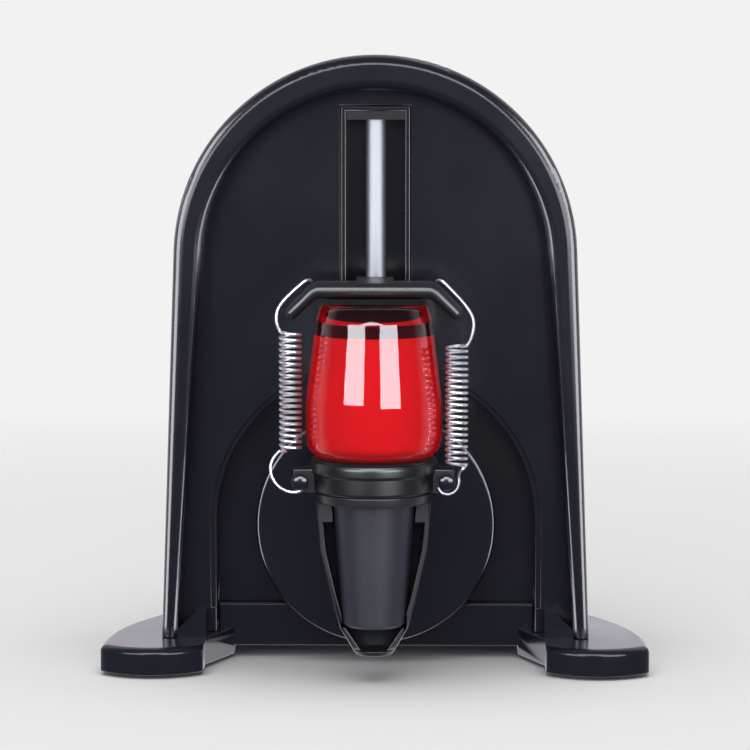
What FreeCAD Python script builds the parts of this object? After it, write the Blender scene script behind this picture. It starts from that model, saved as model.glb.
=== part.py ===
"""Nail polish shaker: a crank disc in an arched stand shakes an upside-down bottle in a carrier.

Millimetres. X points right, Y points to the back and Z up. The origin is under the middle of the
part's box, on the surface it stands on. "Depth" is counted backwards from the front of the rim.
"""
import FreeCAD
import Part
import Sketcher
import math
import os

from FreeCAD import Rotation, Vector

# Driving dimensions. Each is a cell of the sheet, and every piece takes its size from these cells.
SIZES = {
    # base
    "base_radius": 75.3,
    "base_centre_depth": -5.0,
    "base_front_depth": -15.0,
    "foot_lobe_radius": 20.0,
    "base_edge": 2.0,
    "base_top": 8.5,
    "base_bottom": 1.0,
    "base_wall": 2.2,
    "bottom_plate_thickness": 1.6,
    "rubber_foot_radius": 7.0,
    "rubber_foot_edge": 0.4,
    "front_foot_x": 60.0,
    "front_foot_depth": 4.0,
    "rear_foot_x": 34.0,
    "rear_foot_depth": 50.0,
    "plinth_margin": 1.4,
    "plinth_corner": 9.0,
    "notch_front_half": 47.0,
    "notch_back_half": 40.0,
    "notch_mouth_depth": 0.0,
    "tunnel_depth": 32.0,
    "sill_depth": 15.8,
    "sill_thickness": 2.4,
    "sill_bottom": 3.5,
    "sill_top": 15.5,
    "sill_side_gap": 1.7,
    "base_screw_head": 0.8,
    "base_screw_spare": 1.0,
    "foot_block_low": 2.0,
    "foot_block_flat": 3.0,
    # arched front shell
    "arch_radius": 55.4,
    "arch_centre": 114.0,
    "arch_foot_half": 59.2,
    "rim_width": 8.3,
    "rim_rise": 1.5,
    "rim_foot_width": 4.2,
    "recess_depth": 10.0,
    "shell_depth": 15.0,
    "shell_wall": 2.4,
    "rim_round": 1.6,
    # well and disc
    "disc_centre": 39.0,
    "disc_radius": 33.5,
    "disc_thickness": 5.0,
    "disc_depth": 9.0,
    "disc_edge_round": 0.8,
    "disc_hub_radius": 8.0,
    "well_radius": 44.6,
    "well_depth": 20.0,
    "well_floor": 4.0,
    "well_lip": 1.4,
    "well_lip_depth": 0.8,
    "shaft_opening_radius": 6.0,
    # channel and rod
    "channel_half": 8.2,
    "channel_wall": 1.3,
    "channel_foot_gap": 0.5,
    "channel_head_gap": 5.6,
    "channel_back_gap": 1.0,
    "channel_proud": 0.6,
    "rod_radius": 2.7,
    "slider_face_gap": 1.0,
    "rod_seat_height": 2.4,
    # rear cover
    "cover_inset": 1.2,
    "cover_back_gap": 2.3,
    "cover_wall": 2.2,
    "cover_round": 8.0,
    "vent_width": 2.4,
    "vent_length": 26.0,
    "vent_pitch": 6.0,
    "vent_first": 46.0,
    "vent_side": 6.5,
    # fasteners
    "screw_radius": 1.45,
    "screw_head_radius": 2.7,
    "screw_head_height": 1.8,
    "cover_screw_bite": 8.0,
    "screw_tip": 0.8,
    "screw_tip_radius": 0.95,
    "bore_floor": 0.5,
    "post_radius": 4.0,
    "bracket_post_radius": 3.0,
    "post_end": 30.0,
    "low_post_inset": 9.2,
    "low_post_height": 26.0,
    "high_post_inset": 12.0,
    "high_post_angle": 38.5,
    # drive shaft, bearings and housing
    "shaft_radius": 3.0,
    "shaft_edge": 0.4,
    "shaft_start": 1.2,
    "shaft_spare": 2.0,
    "clip_width": 2.2,
    "clip_thickness": 0.8,
    "bearing_radius": 9.5,
    "bearing_width": 6.0,
    "bearing_edge": 0.3,
    "bearing_stop": 1.5,
    "bearing_span": 14.0,
    "housing_radius": 12.5,
    "housing_flange_radius": 21.0,
    "housing_flange": 3.0,
    # crank pin and its bearing
    "crank_radius": 12.0,
    "pin_radius": 2.5,
    "pin_head_radius": 4.0,
    "pin_head_height": 1.5,
    "pin_thread_radius": 2.0,
    "pin_collar": 0.9,
    "pin_head_edge": 0.5,
    "pin_thread_spare": 0.4,
    "pin_bearing_radius": 5.5,
    "pin_bearing_width": 5.0,
    "weight_radius": 22.0,
    "weight_thickness": 3.6,
    "weight_edge": 0.4,
    "weight_flat": 2.0,
    # belt drive and motor
    "pulley_gap": 2.5,
    "pulley_width": 7.0,
    "driven_pulley_radius": 18.0,
    "motor_pulley_radius": 5.0,
    "groove_depth": 1.6,
    "belt_thickness": 2.2,
    "belt_width": 4.0,
    "motor_x": 25.0,
    "motor_height": 101.0,
    "motor_radius": 12.2,
    "motor_length": 26.0,
    "motor_can_wall": 1.0,
    "motor_can_edge": 1.2,
    "motor_face": 1.6,
    "motor_cap_depth": 3.0,
    "motor_magnet_start": 3.0,
    "motor_magnet_length": 17.0,
    "armature_radius": 7.6,
    "armature_start": 3.5,
    "armature_length": 16.0,
    "air_gap": 0.6,
    "terminal_spacing": 14.0,
    "terminal_width": 2.0,
    "terminal_thickness": 0.6,
    "terminal_length": 3.2,
    "motor_shaft_spare": 0.5,
    "motor_shaft_radius": 1.15,
    "motor_rear_gap": 0.9,
    "bracket_thickness": 1.5,
    "bracket_half": 8.0,
    "bracket_end": 1.0,
    "bracket_hole_radius": 3.15,
    # spine, slider and yoke guide
    "spine_depth": 4.6,
    "spine_thickness": 3.4,
    "spine_half": 8.0,
    "spine_end": 4.5,
    "spine_boss_radius": 9.0,
    "ring_screw_x": 4.4,
    "rail_width": 2.0,
    "rail_bottom": 70.0,
    "rail_grip": 6.0,
    "slider_side_gap": 0.8,
    "slider_rest_gap": 3.6,
    "slider_height": 11.0,
    "slider_front": 5.2,
    "slider_back": 5.0,
    "bush_wall": 1.2,
    "bush_length": 4.0,
    "pivot_radius": 2.4,
    # carrier: cup, ring, pins and springs
    "bottle_gap": 2.2,
    "ring_radius": 17.2,
    "ring_step": 0.6,
    "ring_below": 8.6,
    "ring_step_below": 3.8,
    "ring_above": 1.0,
    "ring_edge": 0.6,
    "ring_top_edge": 0.8,
    "ring_pad_drop": 2.0,
    "ear_end": 2.0,
    "ear_front": 4.6,
    "ear_back": 3.5,
    "ear_height": 6.4,
    "cup_top_wall": 4.35,
    "cup_waist_wall": 2.95,
    "cup_waist_height": 36.3,
    "cup_low_wall": 3.1,
    "cup_low_height": 23.0,
    "cup_tip_wall": 0.8,
    "cup_tip_height": 15.0,
    "cup_bottom": 6.7,
    "cup_bottom_radius": 5.1,
    "cup_bottom_edge": 1.1,
    "cup_rim_height": 2.6,
    "cup_web_half": 7.0,
    "cup_shell": 1.4,
    "cup_floor": 2.5,
    "cup_floor_radius": 4.4,
    "cup_guide_height": 8.4,
    "cup_guide_thickness": 2.2,
    "window_front": 2.8,
    "spring_aside": 2.6,
    "spring_pin_rise": 3.4,
    "spring_pin_radius": 1.2,
    "spring_pin_head": 2.0,
    "spring_pin_dome": 1.2,
    "spring_pin_length": 3.6,
    "spring_room": 3.8,
    "spring_front": 6.5,
    "spring_radius": 3.1,
    "wire_radius": 0.4,
    "spring_foot": 6.7,
    "spring_turns": 20.0,
    "high_hook_radius": 3.6,
    # yoke
    "yoke_half": 17.0,
    "yoke_end": 2.0,
    "yoke_thickness": 4.3,
    "yoke_arm_thickness": 3.0,
    "yoke_bridge_thickness": 2.2,
    "yoke_hole_radius": 0.95,
    "yoke_reach": 5.4,
    "yoke_pad_thickness": 1.5,
    "yoke_pad_inset": 0.6,
    "yoke_tab_half": 5.0,
    "yoke_tab_thickness": 1.4,
    "yoke_tab_length": 32.75,
    "yoke_lift": 10.0,
    # bottle
    "glass_bottom": 61.0,
    "glass_height": 41.8,
    "glass_radius": 18.4,
    "glass_belly_rise": 10.0,
    "glass_shoulder_inset": 1.4,
    "glass_shoulder": 2.2,
    "glass_belly_half": 5.0,
    "glass_heel": 3.0,
    "glass_heel_inset": 3.0,
    "glass_end_inset": 5.2,
    "glass_wall": 1.8,
    "glass_floor": 5.0,
    "neck_radius": 7.0,
    "neck_length": 9.0,
    "lacquer_depth": 33.5,
    "cap_top_radius": 11.65,
    "cap_end_radius": 8.5,
    "cap_end": 15.6,
    "cap_edge": 0.8,
    "cap_draft": 0.3,
    # electrics
    "button_rise": 14.0,
    "button_radius": 6.0,
    "button_proud": 2.6,
    "button_travel": 2.0,
    "bezel_width": 1.8,
    "bezel_proud": 0.8,
    "bezel_flange": 1.2,
    "button_edge": 0.6,
    "plunger_radius": 2.0,
    "plunger_length": 1.2,
    "button_flange": 1.0,
    "switch_size": 8.5,
    "jack_x": -30.0,
    "jack_height": 24.0,
    "jack_radius": 4.2,
    "jack_bore": 2.8,
    "jack_pin_radius": 1.0,
    "jack_length": 11.0,
    "jack_flange": 1.4,
    "jack_flange_thickness": 0.8,
    "jack_floor": 2.0,
    "jack_pin_spare": 1.0,
    "board_left": -26.0,
    "board_right": 13.0,
    "board_below": 11.0,
    "board_above": 13.0,
    "board_setback": 17.0,
    "board_thickness": 1.6,
    "board_post_radius": 2.6,
    "board_screw_length": 6.4,
    "part_spacing": 6.2,
    "capacitor_radius": 3.0,
    "capacitor_height": 9.0,
    "chip_side": 6.0,
    "chip_height": 1.6,
    "header_length": 9.0,
    "header_height": 6.0,
    "header_width": 4.5,
    "header_drop": 2.5,
    # clearances
    "slide_gap": 0.3,
    "fit_gap": 0.05,
    "seat_gap": 0.15,
    "spin_gap": 0.7,
    "past": 1.0,
}

# Counts, shares and angles (in degrees) that aren't lengths.
VENTS = 5
BALLS = 7
BALL_SHARE = 4.4
RACE_SHARE = 0.62
HEAD_EDGE = 0.5
HEAD_CROWN = 0.72
HOOK_END = 110
LOW_HOOK_START, LOW_HOOK_SWEEP = 10, 260
HIGH_HOOK_START, HIGH_HOOK_SWEEP = 90, 200


class Size:
    """A length with the sheet formula that gives it, so that sums and products stay bound."""

    def __init__(self, value, formula=None):
        self.value = float(value)
        self.formula = formula or repr(float(value))

    def __add__(self, other):
        other = size(other)
        return Size(self.value + other.value, f"({self.formula} + {other.formula})")

    def __sub__(self, other):
        other = size(other)
        return Size(self.value - other.value, f"({self.formula} - {other.formula})")

    def __mul__(self, other):
        other = size(other)
        return Size(self.value * other.value, f"({self.formula} * {other.formula})")

    def __truediv__(self, other):
        other = size(other)
        return Size(self.value / other.value, f"({self.formula} / {other.formula})")

    def __neg__(self):
        return Size(-self.value, f"(0 - {self.formula})")

    def __radd__(self, other):
        return size(other) + self

    def __rsub__(self, other):
        return size(other) - self

    def __rmul__(self, other):
        return size(other) * self


def size(number):
    """Return a Size for a number, or the Size itself."""
    return number if isinstance(number, Size) else Size(number)


def root(length_squared):
    """Square root that stays bound to the sheet."""
    return Size(math.sqrt(length_squared.value), f"sqrt({length_squared.formula})")


class Cells:
    """The sheet's cells by alias, as Size values."""


doc = FreeCAD.newDocument("NailPolishShaker")
sheet = doc.addObject("Spreadsheet::Sheet", "Sizes")
s = Cells()
for row, (alias, number) in enumerate(SIZES.items(), start=1):
    sheet.set(f"A{row}", alias.replace("_", " "))
    sheet.set(f"B{row}", str(number))
    sheet.setAlias(f"B{row}", alias)
    setattr(s, alias, Size(number, f"Sizes.{alias}"))
doc.recompute()

# Sizes that follow from the driving ones. Stand:
s.recess_radius = s.arch_radius - s.rim_width
s.recess_centre = s.arch_centre - s.rim_rise
s.recess_foot_half = s.arch_foot_half - s.rim_foot_width
s.channel_bottom = s.disc_centre + s.well_radius + s.shell_wall + s.channel_foot_gap
s.channel_top = s.recess_centre + s.recess_radius - s.channel_head_gap
s.low_post_x = s.arch_foot_half - s.low_post_inset
s.foot_lobe_x = (s.notch_front_half + s.base_radius) / 2
post_reach = s.arch_radius - s.high_post_inset
post_angle = math.radians(SIZES["high_post_angle"])
s.high_post_x = post_reach * math.cos(post_angle)
s.high_post_height = s.arch_centre + post_reach * math.sin(post_angle)

# Drive, from the motor at the front to the cover at the back:
s.motor_front_depth = (s.recess_depth + s.shell_wall + s.terminal_length + s.motor_rear_gap
                       + s.motor_length)
s.pulley_depth = s.motor_front_depth + s.bracket_thickness + s.pulley_gap
s.cover_back = s.pulley_depth + s.pulley_width + s.shaft_spare + s.cover_back_gap + s.cover_wall

# Spine, slider and channel, one behind the other:
s.slider_front_depth = s.spine_depth + s.spine_thickness + s.slider_face_gap
s.rod_depth = s.slider_front_depth + s.slider_front
s.slider_back_depth = s.rod_depth + s.slider_back
s.channel_depth = s.slider_back_depth + s.channel_back_gap
s.slider_half = s.channel_half - s.slider_side_gap
s.slider_bottom = s.channel_bottom + s.rod_seat_height + s.slider_rest_gap
s.pivot_height = s.slider_bottom + s.slider_height / 2
s.spine_top = s.pivot_height + s.spine_end

# Bottle, and the carrier round it:
s.bottle_depth = s.spine_depth - s.bottle_gap - s.glass_radius
s.glass_top = s.glass_bottom + s.glass_height
s.glass_belly_height = s.glass_bottom + s.glass_belly_rise
s.glass_shoulder_radius = s.glass_radius - s.glass_shoulder_inset
s.glass_heel_radius = s.glass_radius - s.glass_heel_inset
s.glass_end_radius = s.glass_radius - s.glass_end_inset
s.neck_bottom = s.glass_bottom - s.neck_length
s.lacquer_level = s.glass_bottom + s.lacquer_depth
s.ring_bottom = s.glass_bottom - s.ring_below
s.ring_step_height = s.glass_bottom - s.ring_step_below
s.ring_top = s.glass_bottom + s.ring_above
s.cup_top_radius = s.cap_top_radius + s.cup_top_wall
s.cup_waist_radius = s.cap_top_radius + s.cup_waist_wall
s.cup_low_radius = s.cap_end_radius + s.cup_low_wall
s.cup_tip_radius = s.cap_end_radius + s.cup_tip_wall
s.window_depth = s.bottle_depth - s.window_front

# Springs, with their pins below and the yoke above:
s.spring_x = s.glass_radius + s.spring_room
s.spring_depth = s.bottle_depth - s.spring_front
s.spring_pin_x = s.spring_x - s.spring_aside
s.spring_pin_height = s.ring_bottom + s.spring_pin_rise
s.ear_half = s.spring_pin_x + s.ear_end
s.ear_front_depth = s.bottle_depth - s.ear_front
s.ear_back_depth = s.bottle_depth + s.ear_back
s.spring_bottom = s.spring_pin_height + s.spring_foot
s.yoke_bottom = s.glass_top + s.yoke_pad_thickness + s.seat_gap
s.yoke_top = s.yoke_bottom + s.yoke_thickness
s.yoke_drop = s.spring_x + s.yoke_end - s.yoke_half
s.yoke_front_depth = s.bottle_depth - s.yoke_reach
s.yoke_back_depth = s.bottle_depth + s.yoke_reach
s.yoke_tab_bottom = s.yoke_top - s.yoke_tab_length
hook_angle = math.radians(HOOK_END)
s.hook_x = s.spring_x + s.high_hook_radius * math.cos(hook_angle)
s.hook_height = s.yoke_top - (s.hook_x - s.yoke_half) - s.yoke_arm_thickness
s.spring_top = s.hook_height - s.high_hook_radius * (1 + math.sin(hook_angle))

# Button and board:
s.button_height = s.arch_centre + s.button_rise
s.board_bottom = s.button_height - s.board_below
s.board_top = s.button_height + s.board_above
s.board_depth = s.cover_back - s.board_setback

# The rim's front lies where the box of the whole part is centred on Y = 0.
FRONT_REACH = s.glass_radius - s.bottle_depth
REAR_REACH = s.cover_back + s.button_proud
RIM_Y = (FRONT_REACH - REAR_REACH) / 2

ALONG_X = Rotation(Vector(0, 1, 0), 90)
ALONG_Y = Rotation(Vector(1, 0, 0), -90)
ALONG_Z = Rotation()
FORWARD = Rotation(Vector(1, 0, 0), 90)
DOWNWARD = Rotation(Vector(1, 0, 0), 180)

NODES = []


def at_depth(depth):
    """Y of a place that lies this far behind the rim's front."""
    return RIM_Y + depth


# ---------------------------------------------------------------- building blocks


def place(thing, x, y, z, turn=ALONG_Z):
    """Turn an object and bind its position to the sheet."""
    thing.Placement = FreeCAD.Placement(Vector(size(x).value, size(y).value, size(z).value), turn)
    for axis, length in (("x", x), ("y", y), ("z", z)):
        thing.setExpression(f"Placement.Base.{axis}", size(length).formula)
    return thing


def bind(thing, **lengths):
    """Bind properties of an object to the sheet."""
    for name, length in lengths.items():
        setattr(thing, name, size(length).value)
        thing.setExpression(name, size(length).formula)
    return thing


def box(label, x, y, z):
    """Box between two limits along each axis."""
    thing = doc.addObject("Part::Box", label)
    bind(thing, Length=x[1] - size(x[0]), Width=y[1] - size(y[0]), Height=z[1] - size(z[0]))
    return place(thing, x[0], y[0], z[0])


def cylinder(label, radius, length, x, y, z, turn=ALONG_Y):
    """Cylinder that starts at a point and runs along an axis."""
    thing = doc.addObject("Part::Cylinder", label)
    bind(thing, Radius=radius, Height=length)
    return place(thing, x, y, z, turn)


def ball(label, radius, x, y, z):
    """Sphere round a point."""
    thing = doc.addObject("Part::Sphere", label)
    bind(thing, Radius=radius)
    return place(thing, x, y, z)


def cut(label, base, *tools):
    """Take tools away from a base."""
    tool = tools[0]
    if len(tools) > 1:
        tool = fuse(f"{label}_tools", *tools)
    thing = doc.addObject("Part::Cut", label)
    thing.Base = base
    thing.Tool = tool
    return thing


def fuse(label, *parts):
    """Join parts into one solid."""
    thing = doc.addObject("Part::MultiFuse", label)
    thing.Shapes = list(parts)
    return thing


def common(label, first, second):
    """Keep what two solids share."""
    thing = doc.addObject("Part::MultiCommon", label)
    thing.Shapes = [first, second]
    return thing


def group(label, parts):
    """Keep several separate solids in one node."""
    thing = doc.addObject("Part::Compound", label)
    thing.Links = list(parts)
    return thing


def origin_plane(body, role):
    """The body's own origin plane with this role."""
    for feature in body.Origin.OriginFeatures:
        if feature.Role == role:
            return feature
    raise RuntimeError(f"no {role} in {body.Label}")


def arc_edge(start, end, radius):
    """Arc between two points; a positive radius turns left on the way, a negative one right."""
    dx, dy = end[0] - start[0], end[1] - start[1]
    chord = math.hypot(dx, dy)
    rise = math.sqrt(max(radius * radius - chord * chord / 4, 0.0)) * math.copysign(1, radius)
    centre = Vector(start[0] + dx / 2 - dy / chord * rise, start[1] + dy / 2 + dx / chord * rise, 0)
    first, last = (start, end) if radius > 0 else (end, start)
    angles = [math.atan2(p[1] - centre.y, p[0] - centre.x) for p in (first, last)]
    return Part.ArcOfCircle(Part.Circle(centre, Vector(0, 0, 1), abs(radius)), *angles)


def draw_outline(sketch, corners):
    """Draw a closed outline. A corner is (x, y), or (x, y, radius) where an arc leaves it.

    Every corner is held from the sketch's origin and every arc by its radius, all by formulas.
    """
    count = len(corners)
    ends = []
    for number, corner in enumerate(corners):
        start = [size(value).value for value in corner[:2]]
        end = [size(value).value for value in corners[(number + 1) % count][:2]]
        radius = size(corner[2]) if len(corner) > 2 else None
        if radius is None:
            sketch.addGeometry(Part.LineSegment(Vector(*start, 0), Vector(*end, 0)), False)
            ends.append((1, 2))
            continue
        sketch.addGeometry(arc_edge(start, end, radius.value), False)
        ends.append((1, 2) if radius.value > 0 else (2, 1))
        hold = sketch.addConstraint(Sketcher.Constraint("Radius", number, abs(radius.value)))
        formula = radius.formula if radius.value > 0 else (-radius).formula
        sketch.setExpression(f"Constraints[{hold}]", formula)
    for number, corner in enumerate(corners):
        before = (number - 1) % count
        sketch.addConstraint(Sketcher.Constraint("Coincident", before, ends[before][1], number,
                                                 ends[number][0]))
        for kind, axis, length in (("DistanceX", -2, corner[0]), ("DistanceY", -1, corner[1])):
            length = size(length)
            if length.value == 0:
                sketch.addConstraint(Sketcher.Constraint("PointOnObject", number, ends[number][0],
                                                         axis))
                continue
            hold = sketch.addConstraint(Sketcher.Constraint(kind, -1, 1, number, ends[number][0],
                                                            length.value))
            sketch.setExpression(f"Constraints[{hold}]", length.formula)


def add_sketch(body, role, corners, lift=0):
    """Sketch on one of the body's origin planes, or lifted off it along its normal."""
    sketch = body.newObject("Sketcher::SketchObject", f"{body.Label}_outline")
    sketch.AttachmentSupport = [(origin_plane(body, role), "")]
    sketch.MapMode = "FlatFace"
    if size(lift).value:
        sketch.AttachmentOffset = FreeCAD.Placement(Vector(0, 0, size(lift).value), Rotation())
        sketch.setExpression("AttachmentOffset.Base.z", size(lift).formula)
    draw_outline(sketch, corners)
    return sketch


def upright_plate(label, corners, front, back):
    """Outline in X and Z, as thick as from the front depth to the back depth."""
    body = doc.addObject("PartDesign::Body", label)
    pad = body.newObject("PartDesign::Pad", f"{label}_pad")
    pad.Profile = add_sketch(body, "XZ_Plane", corners)
    bind(pad, Length=back - size(front))
    return place(body, 0, at_depth(back), 0)


def flat_plate(label, corners, bottom, top):
    """Outline in X and Y, from one height to another."""
    body = doc.addObject("PartDesign::Body", label)
    pad = body.newObject("PartDesign::Pad", f"{label}_pad")
    pad.Profile = add_sketch(body, "XY_Plane", corners)
    bind(pad, Length=top - size(bottom))
    return place(body, 0, 0, bottom)


def turned(label, profile, x, y, z, turn=ALONG_Y):
    """Profile of (radius, distance) corners turned round an axis."""
    body = doc.addObject("PartDesign::Body", label)
    sketch = add_sketch(body, "XZ_Plane", profile)
    spin = body.newObject("PartDesign::Revolution", f"{label}_turn")
    spin.Profile = sketch
    spin.ReferenceAxis = (sketch, ["V_Axis"])
    spin.Angle = 360
    return place(body, x, y, z, turn)


def tube_profile(inner, outer, length, edge=0):
    """Section of a tube, with its outer edges broken when an edge size is given."""
    if not size(edge).value:
        return [(inner, 0), (outer, 0), (outer, length), (inner, length)]
    return [(inner, 0), (outer - edge, 0), (outer, edge), (outer, length - edge),
            (outer - edge, length), (inner, length)]


def round_edges(body, radius, wanted):
    """Round the edges of the body's last feature that the test picks."""
    doc.recompute()
    tip = body.Tip
    names = [f"Edge{number}" for number, edge in enumerate(tip.Shape.Edges, start=1)
             if wanted(edge)]
    rounding = body.newObject("PartDesign::Fillet", f"{body.Label}_round")
    rounding.Base = (tip, names)
    bind(rounding, Radius=radius)
    body.Tip = rounding
    return body


def lies_at_y(y):
    """Test for edges that lie in the plane of this Y, in the body's own frame."""
    def test(edge):
        box_of_edge = edge.BoundBox
        return abs(box_of_edge.YMin - y) < 1e-4 and abs(box_of_edge.YMax - y) < 1e-4
    return test


def node(thing):
    """Enter an object in the list of nodes; its label is the node's name."""
    NODES.append(thing)
    return thing


def arch(radius, centre, foot_half, foot):
    """Arch outline: half circle on two straight legs that spread down to the foot.

    Each leg touches the circle where the line from the leg's foot is tangent to it.
    """
    drop = centre - foot
    far = root(foot_half * foot_half + drop * drop)
    tangent = root(far * far - radius * radius)
    touch_x = (radius * radius * foot_half + radius * tangent * drop) / (far * far)
    touch_z = centre - (radius * radius * drop - radius * tangent * foot_half) / (far * far)
    return [(-foot_half, foot), (foot_half, foot), (touch_x, touch_z, radius), (0, centre + radius, radius),
            (-touch_x, touch_z)]


# ---------------------------------------------------------------- stand


def round_slab(label, radius, thick, edge, x, y, bottom):
    """Upright disc; its upper edge is rounded where an edge is given."""
    if not edge:
        return cylinder(label, radius, thick, x, y, bottom, ALONG_Z)
    profile = [(0, 0), (radius, 0), (radius, thick - edge, edge), (radius - edge, thick), (0, thick)]
    return turned(label, profile, x, y, bottom, ALONG_Z)


def base_blank(label, inset, bottom, top, edge=0):
    """Plan of the base: a disc that ends in two round-fronted feet, joined to the housing's plinth."""
    thick = top - size(bottom)
    round_part = round_slab(f"{label}_round", s.base_radius - inset, thick, edge, 0,
                            at_depth(s.base_centre_depth), bottom)
    lobe_y = at_depth(s.base_front_depth + s.foot_lobe_radius)
    lobes = [round_slab(f"{label}_lobe_{side + 2}", s.foot_lobe_radius - inset, thick, edge,
                        s.foot_lobe_x * side, lobe_y, bottom) for side in (-1, 1)]
    rear_part = box(f"{label}_rear", (-s.base_radius, s.base_radius),
                    (lobe_y, at_depth(s.base_centre_depth + s.base_radius)), (bottom, top))
    ears = common(f"{label}_ears", round_part, fuse(f"{label}_feet", rear_part, *lobes))
    half = s.arch_foot_half + s.plinth_margin - inset
    back = s.cover_back + s.plinth_margin - inset
    corner = s.plinth_corner - inset
    behind = box(f"{label}_behind", (-s.base_radius, s.base_radius),
                 (at_depth(back), at_depth(back + s.base_radius)), (bottom - s.past, top + s.past))
    plan = [(-half, at_depth(0)), (half, at_depth(0)), (half, at_depth(back - corner), corner),
            (half - corner, at_depth(back)), (-half + corner, at_depth(back), corner),
            (-half, at_depth(back - corner))]
    plinth = flat_plate(f"{label}_plinth", plan, bottom, top)
    return cut(label, fuse(f"{label}_whole", ears, plinth), behind)


def notch_outline(grow):
    """Plan of the gap between the two front feet, where the disc and the cup hang down."""
    front = at_depth(s.base_front_depth - s.base_wall * 2)
    back = at_depth(s.sill_depth + grow)
    mouth = at_depth(s.notch_mouth_depth)
    return [(-s.notch_front_half - grow, front), (s.notch_front_half + grow, front),
            (s.notch_front_half + grow, mouth), (s.notch_back_half + grow, back),
            (-s.notch_back_half - grow, back), (-s.notch_front_half - grow, mouth)]


def tunnel(label, grow, bottom):
    """Low space under the middle of the base, behind the sill."""
    half = s.notch_back_half + grow
    return box(label, (-half, half), (at_depth(s.sill_depth - s.past), at_depth(s.tunnel_depth + grow)),
               (bottom - s.past, s.sill_bottom + grow))


def make_base():
    """Base tray, bottom plate, rubber feet and base screws."""
    bottom, wall = s.base_bottom, s.base_wall
    blank = base_blank("base_blank", 0, bottom, s.base_top, s.base_edge)
    roof = s.base_top - wall
    below = bottom - s.past
    hollow = cut("base_hollow", base_blank("base_hollow_blank", wall, below, roof),
                 flat_plate("base_notch_walls", notch_outline(wall), below - s.past, roof + s.past),
                 tunnel("base_tunnel_walls", wall, below))
    notch = flat_plate("base_notch", notch_outline(0), below, s.base_top + s.past)
    sill_half = s.low_post_x - s.post_radius - s.sill_side_gap
    sill = box("sill", (-sill_half, sill_half),
               (at_depth(s.sill_depth), at_depth(s.sill_depth + s.sill_thickness)),
               (s.sill_bottom, s.sill_top))
    plate_top = bottom + s.bottom_plate_thickness
    posts = base_screw_cylinders("base_post", s.post_radius, plate_top, s.base_top - wall / 2)
    holes = base_screw_cylinders("base_hole", s.screw_radius + s.seat_gap, bottom, s.base_top + s.past)
    tray = cut("base_tray_shell", blank, hollow, notch, tunnel("base_tunnel", 0, bottom))
    node(cut("base_tray", fuse("base_tray_solid", tray, sill, *posts), *holes))

    inset = wall + s.slide_gap
    plate = base_blank("bottom_plate_blank", inset, bottom, plate_top)
    plate_notch = flat_plate("bottom_plate_notch", notch_outline(inset), below, s.base_top)
    plate_holes = base_screw_cylinders("bottom_plate_hole", s.screw_radius + s.seat_gap, below,
                                       s.base_top)
    node(cut("bottom_plate", plate, plate_notch, tunnel("bottom_plate_tunnel", inset, bottom),
             *plate_holes))

    foot = s.rubber_foot_radius
    profile = [(0, 0), (foot - s.rubber_foot_edge, 0), (foot, bottom), (0, bottom)]
    spots = [(x * side, depth) for side in (-1, 1)
             for x, depth in ((s.front_foot_x, s.front_foot_depth), (s.rear_foot_x, s.rear_foot_depth))]
    node(group("rubber_feet", [turned(f"rubber_foot_{number}", profile, x, at_depth(depth), 0, ALONG_Z)
                               for number, (x, depth) in enumerate(spots, start=1)]))
    reach = s.sill_top - bottom - s.base_screw_spare
    node(group("base_screws", [screw(f"base_screw_{number}", x, at_depth(depth), bottom, reach,
                                     DOWNWARD, s.base_screw_head)
                               for number, (x, depth) in enumerate(base_screw_places(), start=1)]))


def base_screw_places():
    """X and depth of the four screws that hold the base to the housing."""
    front = s.recess_depth + s.shell_wall + s.post_radius
    back = s.cover_back - s.cover_wall - s.post_radius - s.cover_round
    return [(s.low_post_x * side, depth) for side in (-1, 1) for depth in (front, back)]


def base_screw_cylinders(label, radius, bottom, top):
    """Upright cylinders at the base screws' places."""
    return [cylinder(f"{label}_{number}", radius, top - size(bottom), x, at_depth(depth), bottom,
                     ALONG_Z)
            for number, (x, depth) in enumerate(base_screw_places(), start=1)]


def base_bosses(label, rear):
    """Blocks at the foot of the housing that take the front or the rear pair of base screws."""
    half = s.post_radius
    blocks = []
    for x, depth in base_screw_places()[1 if rear else 0::2]:
        side = math.copysign(1, x.value)
        outer = s.arch_foot_half * side if rear else x + half * side
        front = depth - half - (0 if rear else s.past)
        blocks.append(box(f"{label}_{len(blocks) + 1}", sorted_pair(x - half * side, outer),
                          (at_depth(front), at_depth(depth + half)), (s.base_top, s.sill_top)))
    return blocks


def post_places():
    """X and height of the four posts that take the cover's screws."""
    return [(x * side, height) for side in (-1, 1)
            for x, height in ((s.low_post_x, s.low_post_height),
                              (s.high_post_x, s.high_post_height))]


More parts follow.
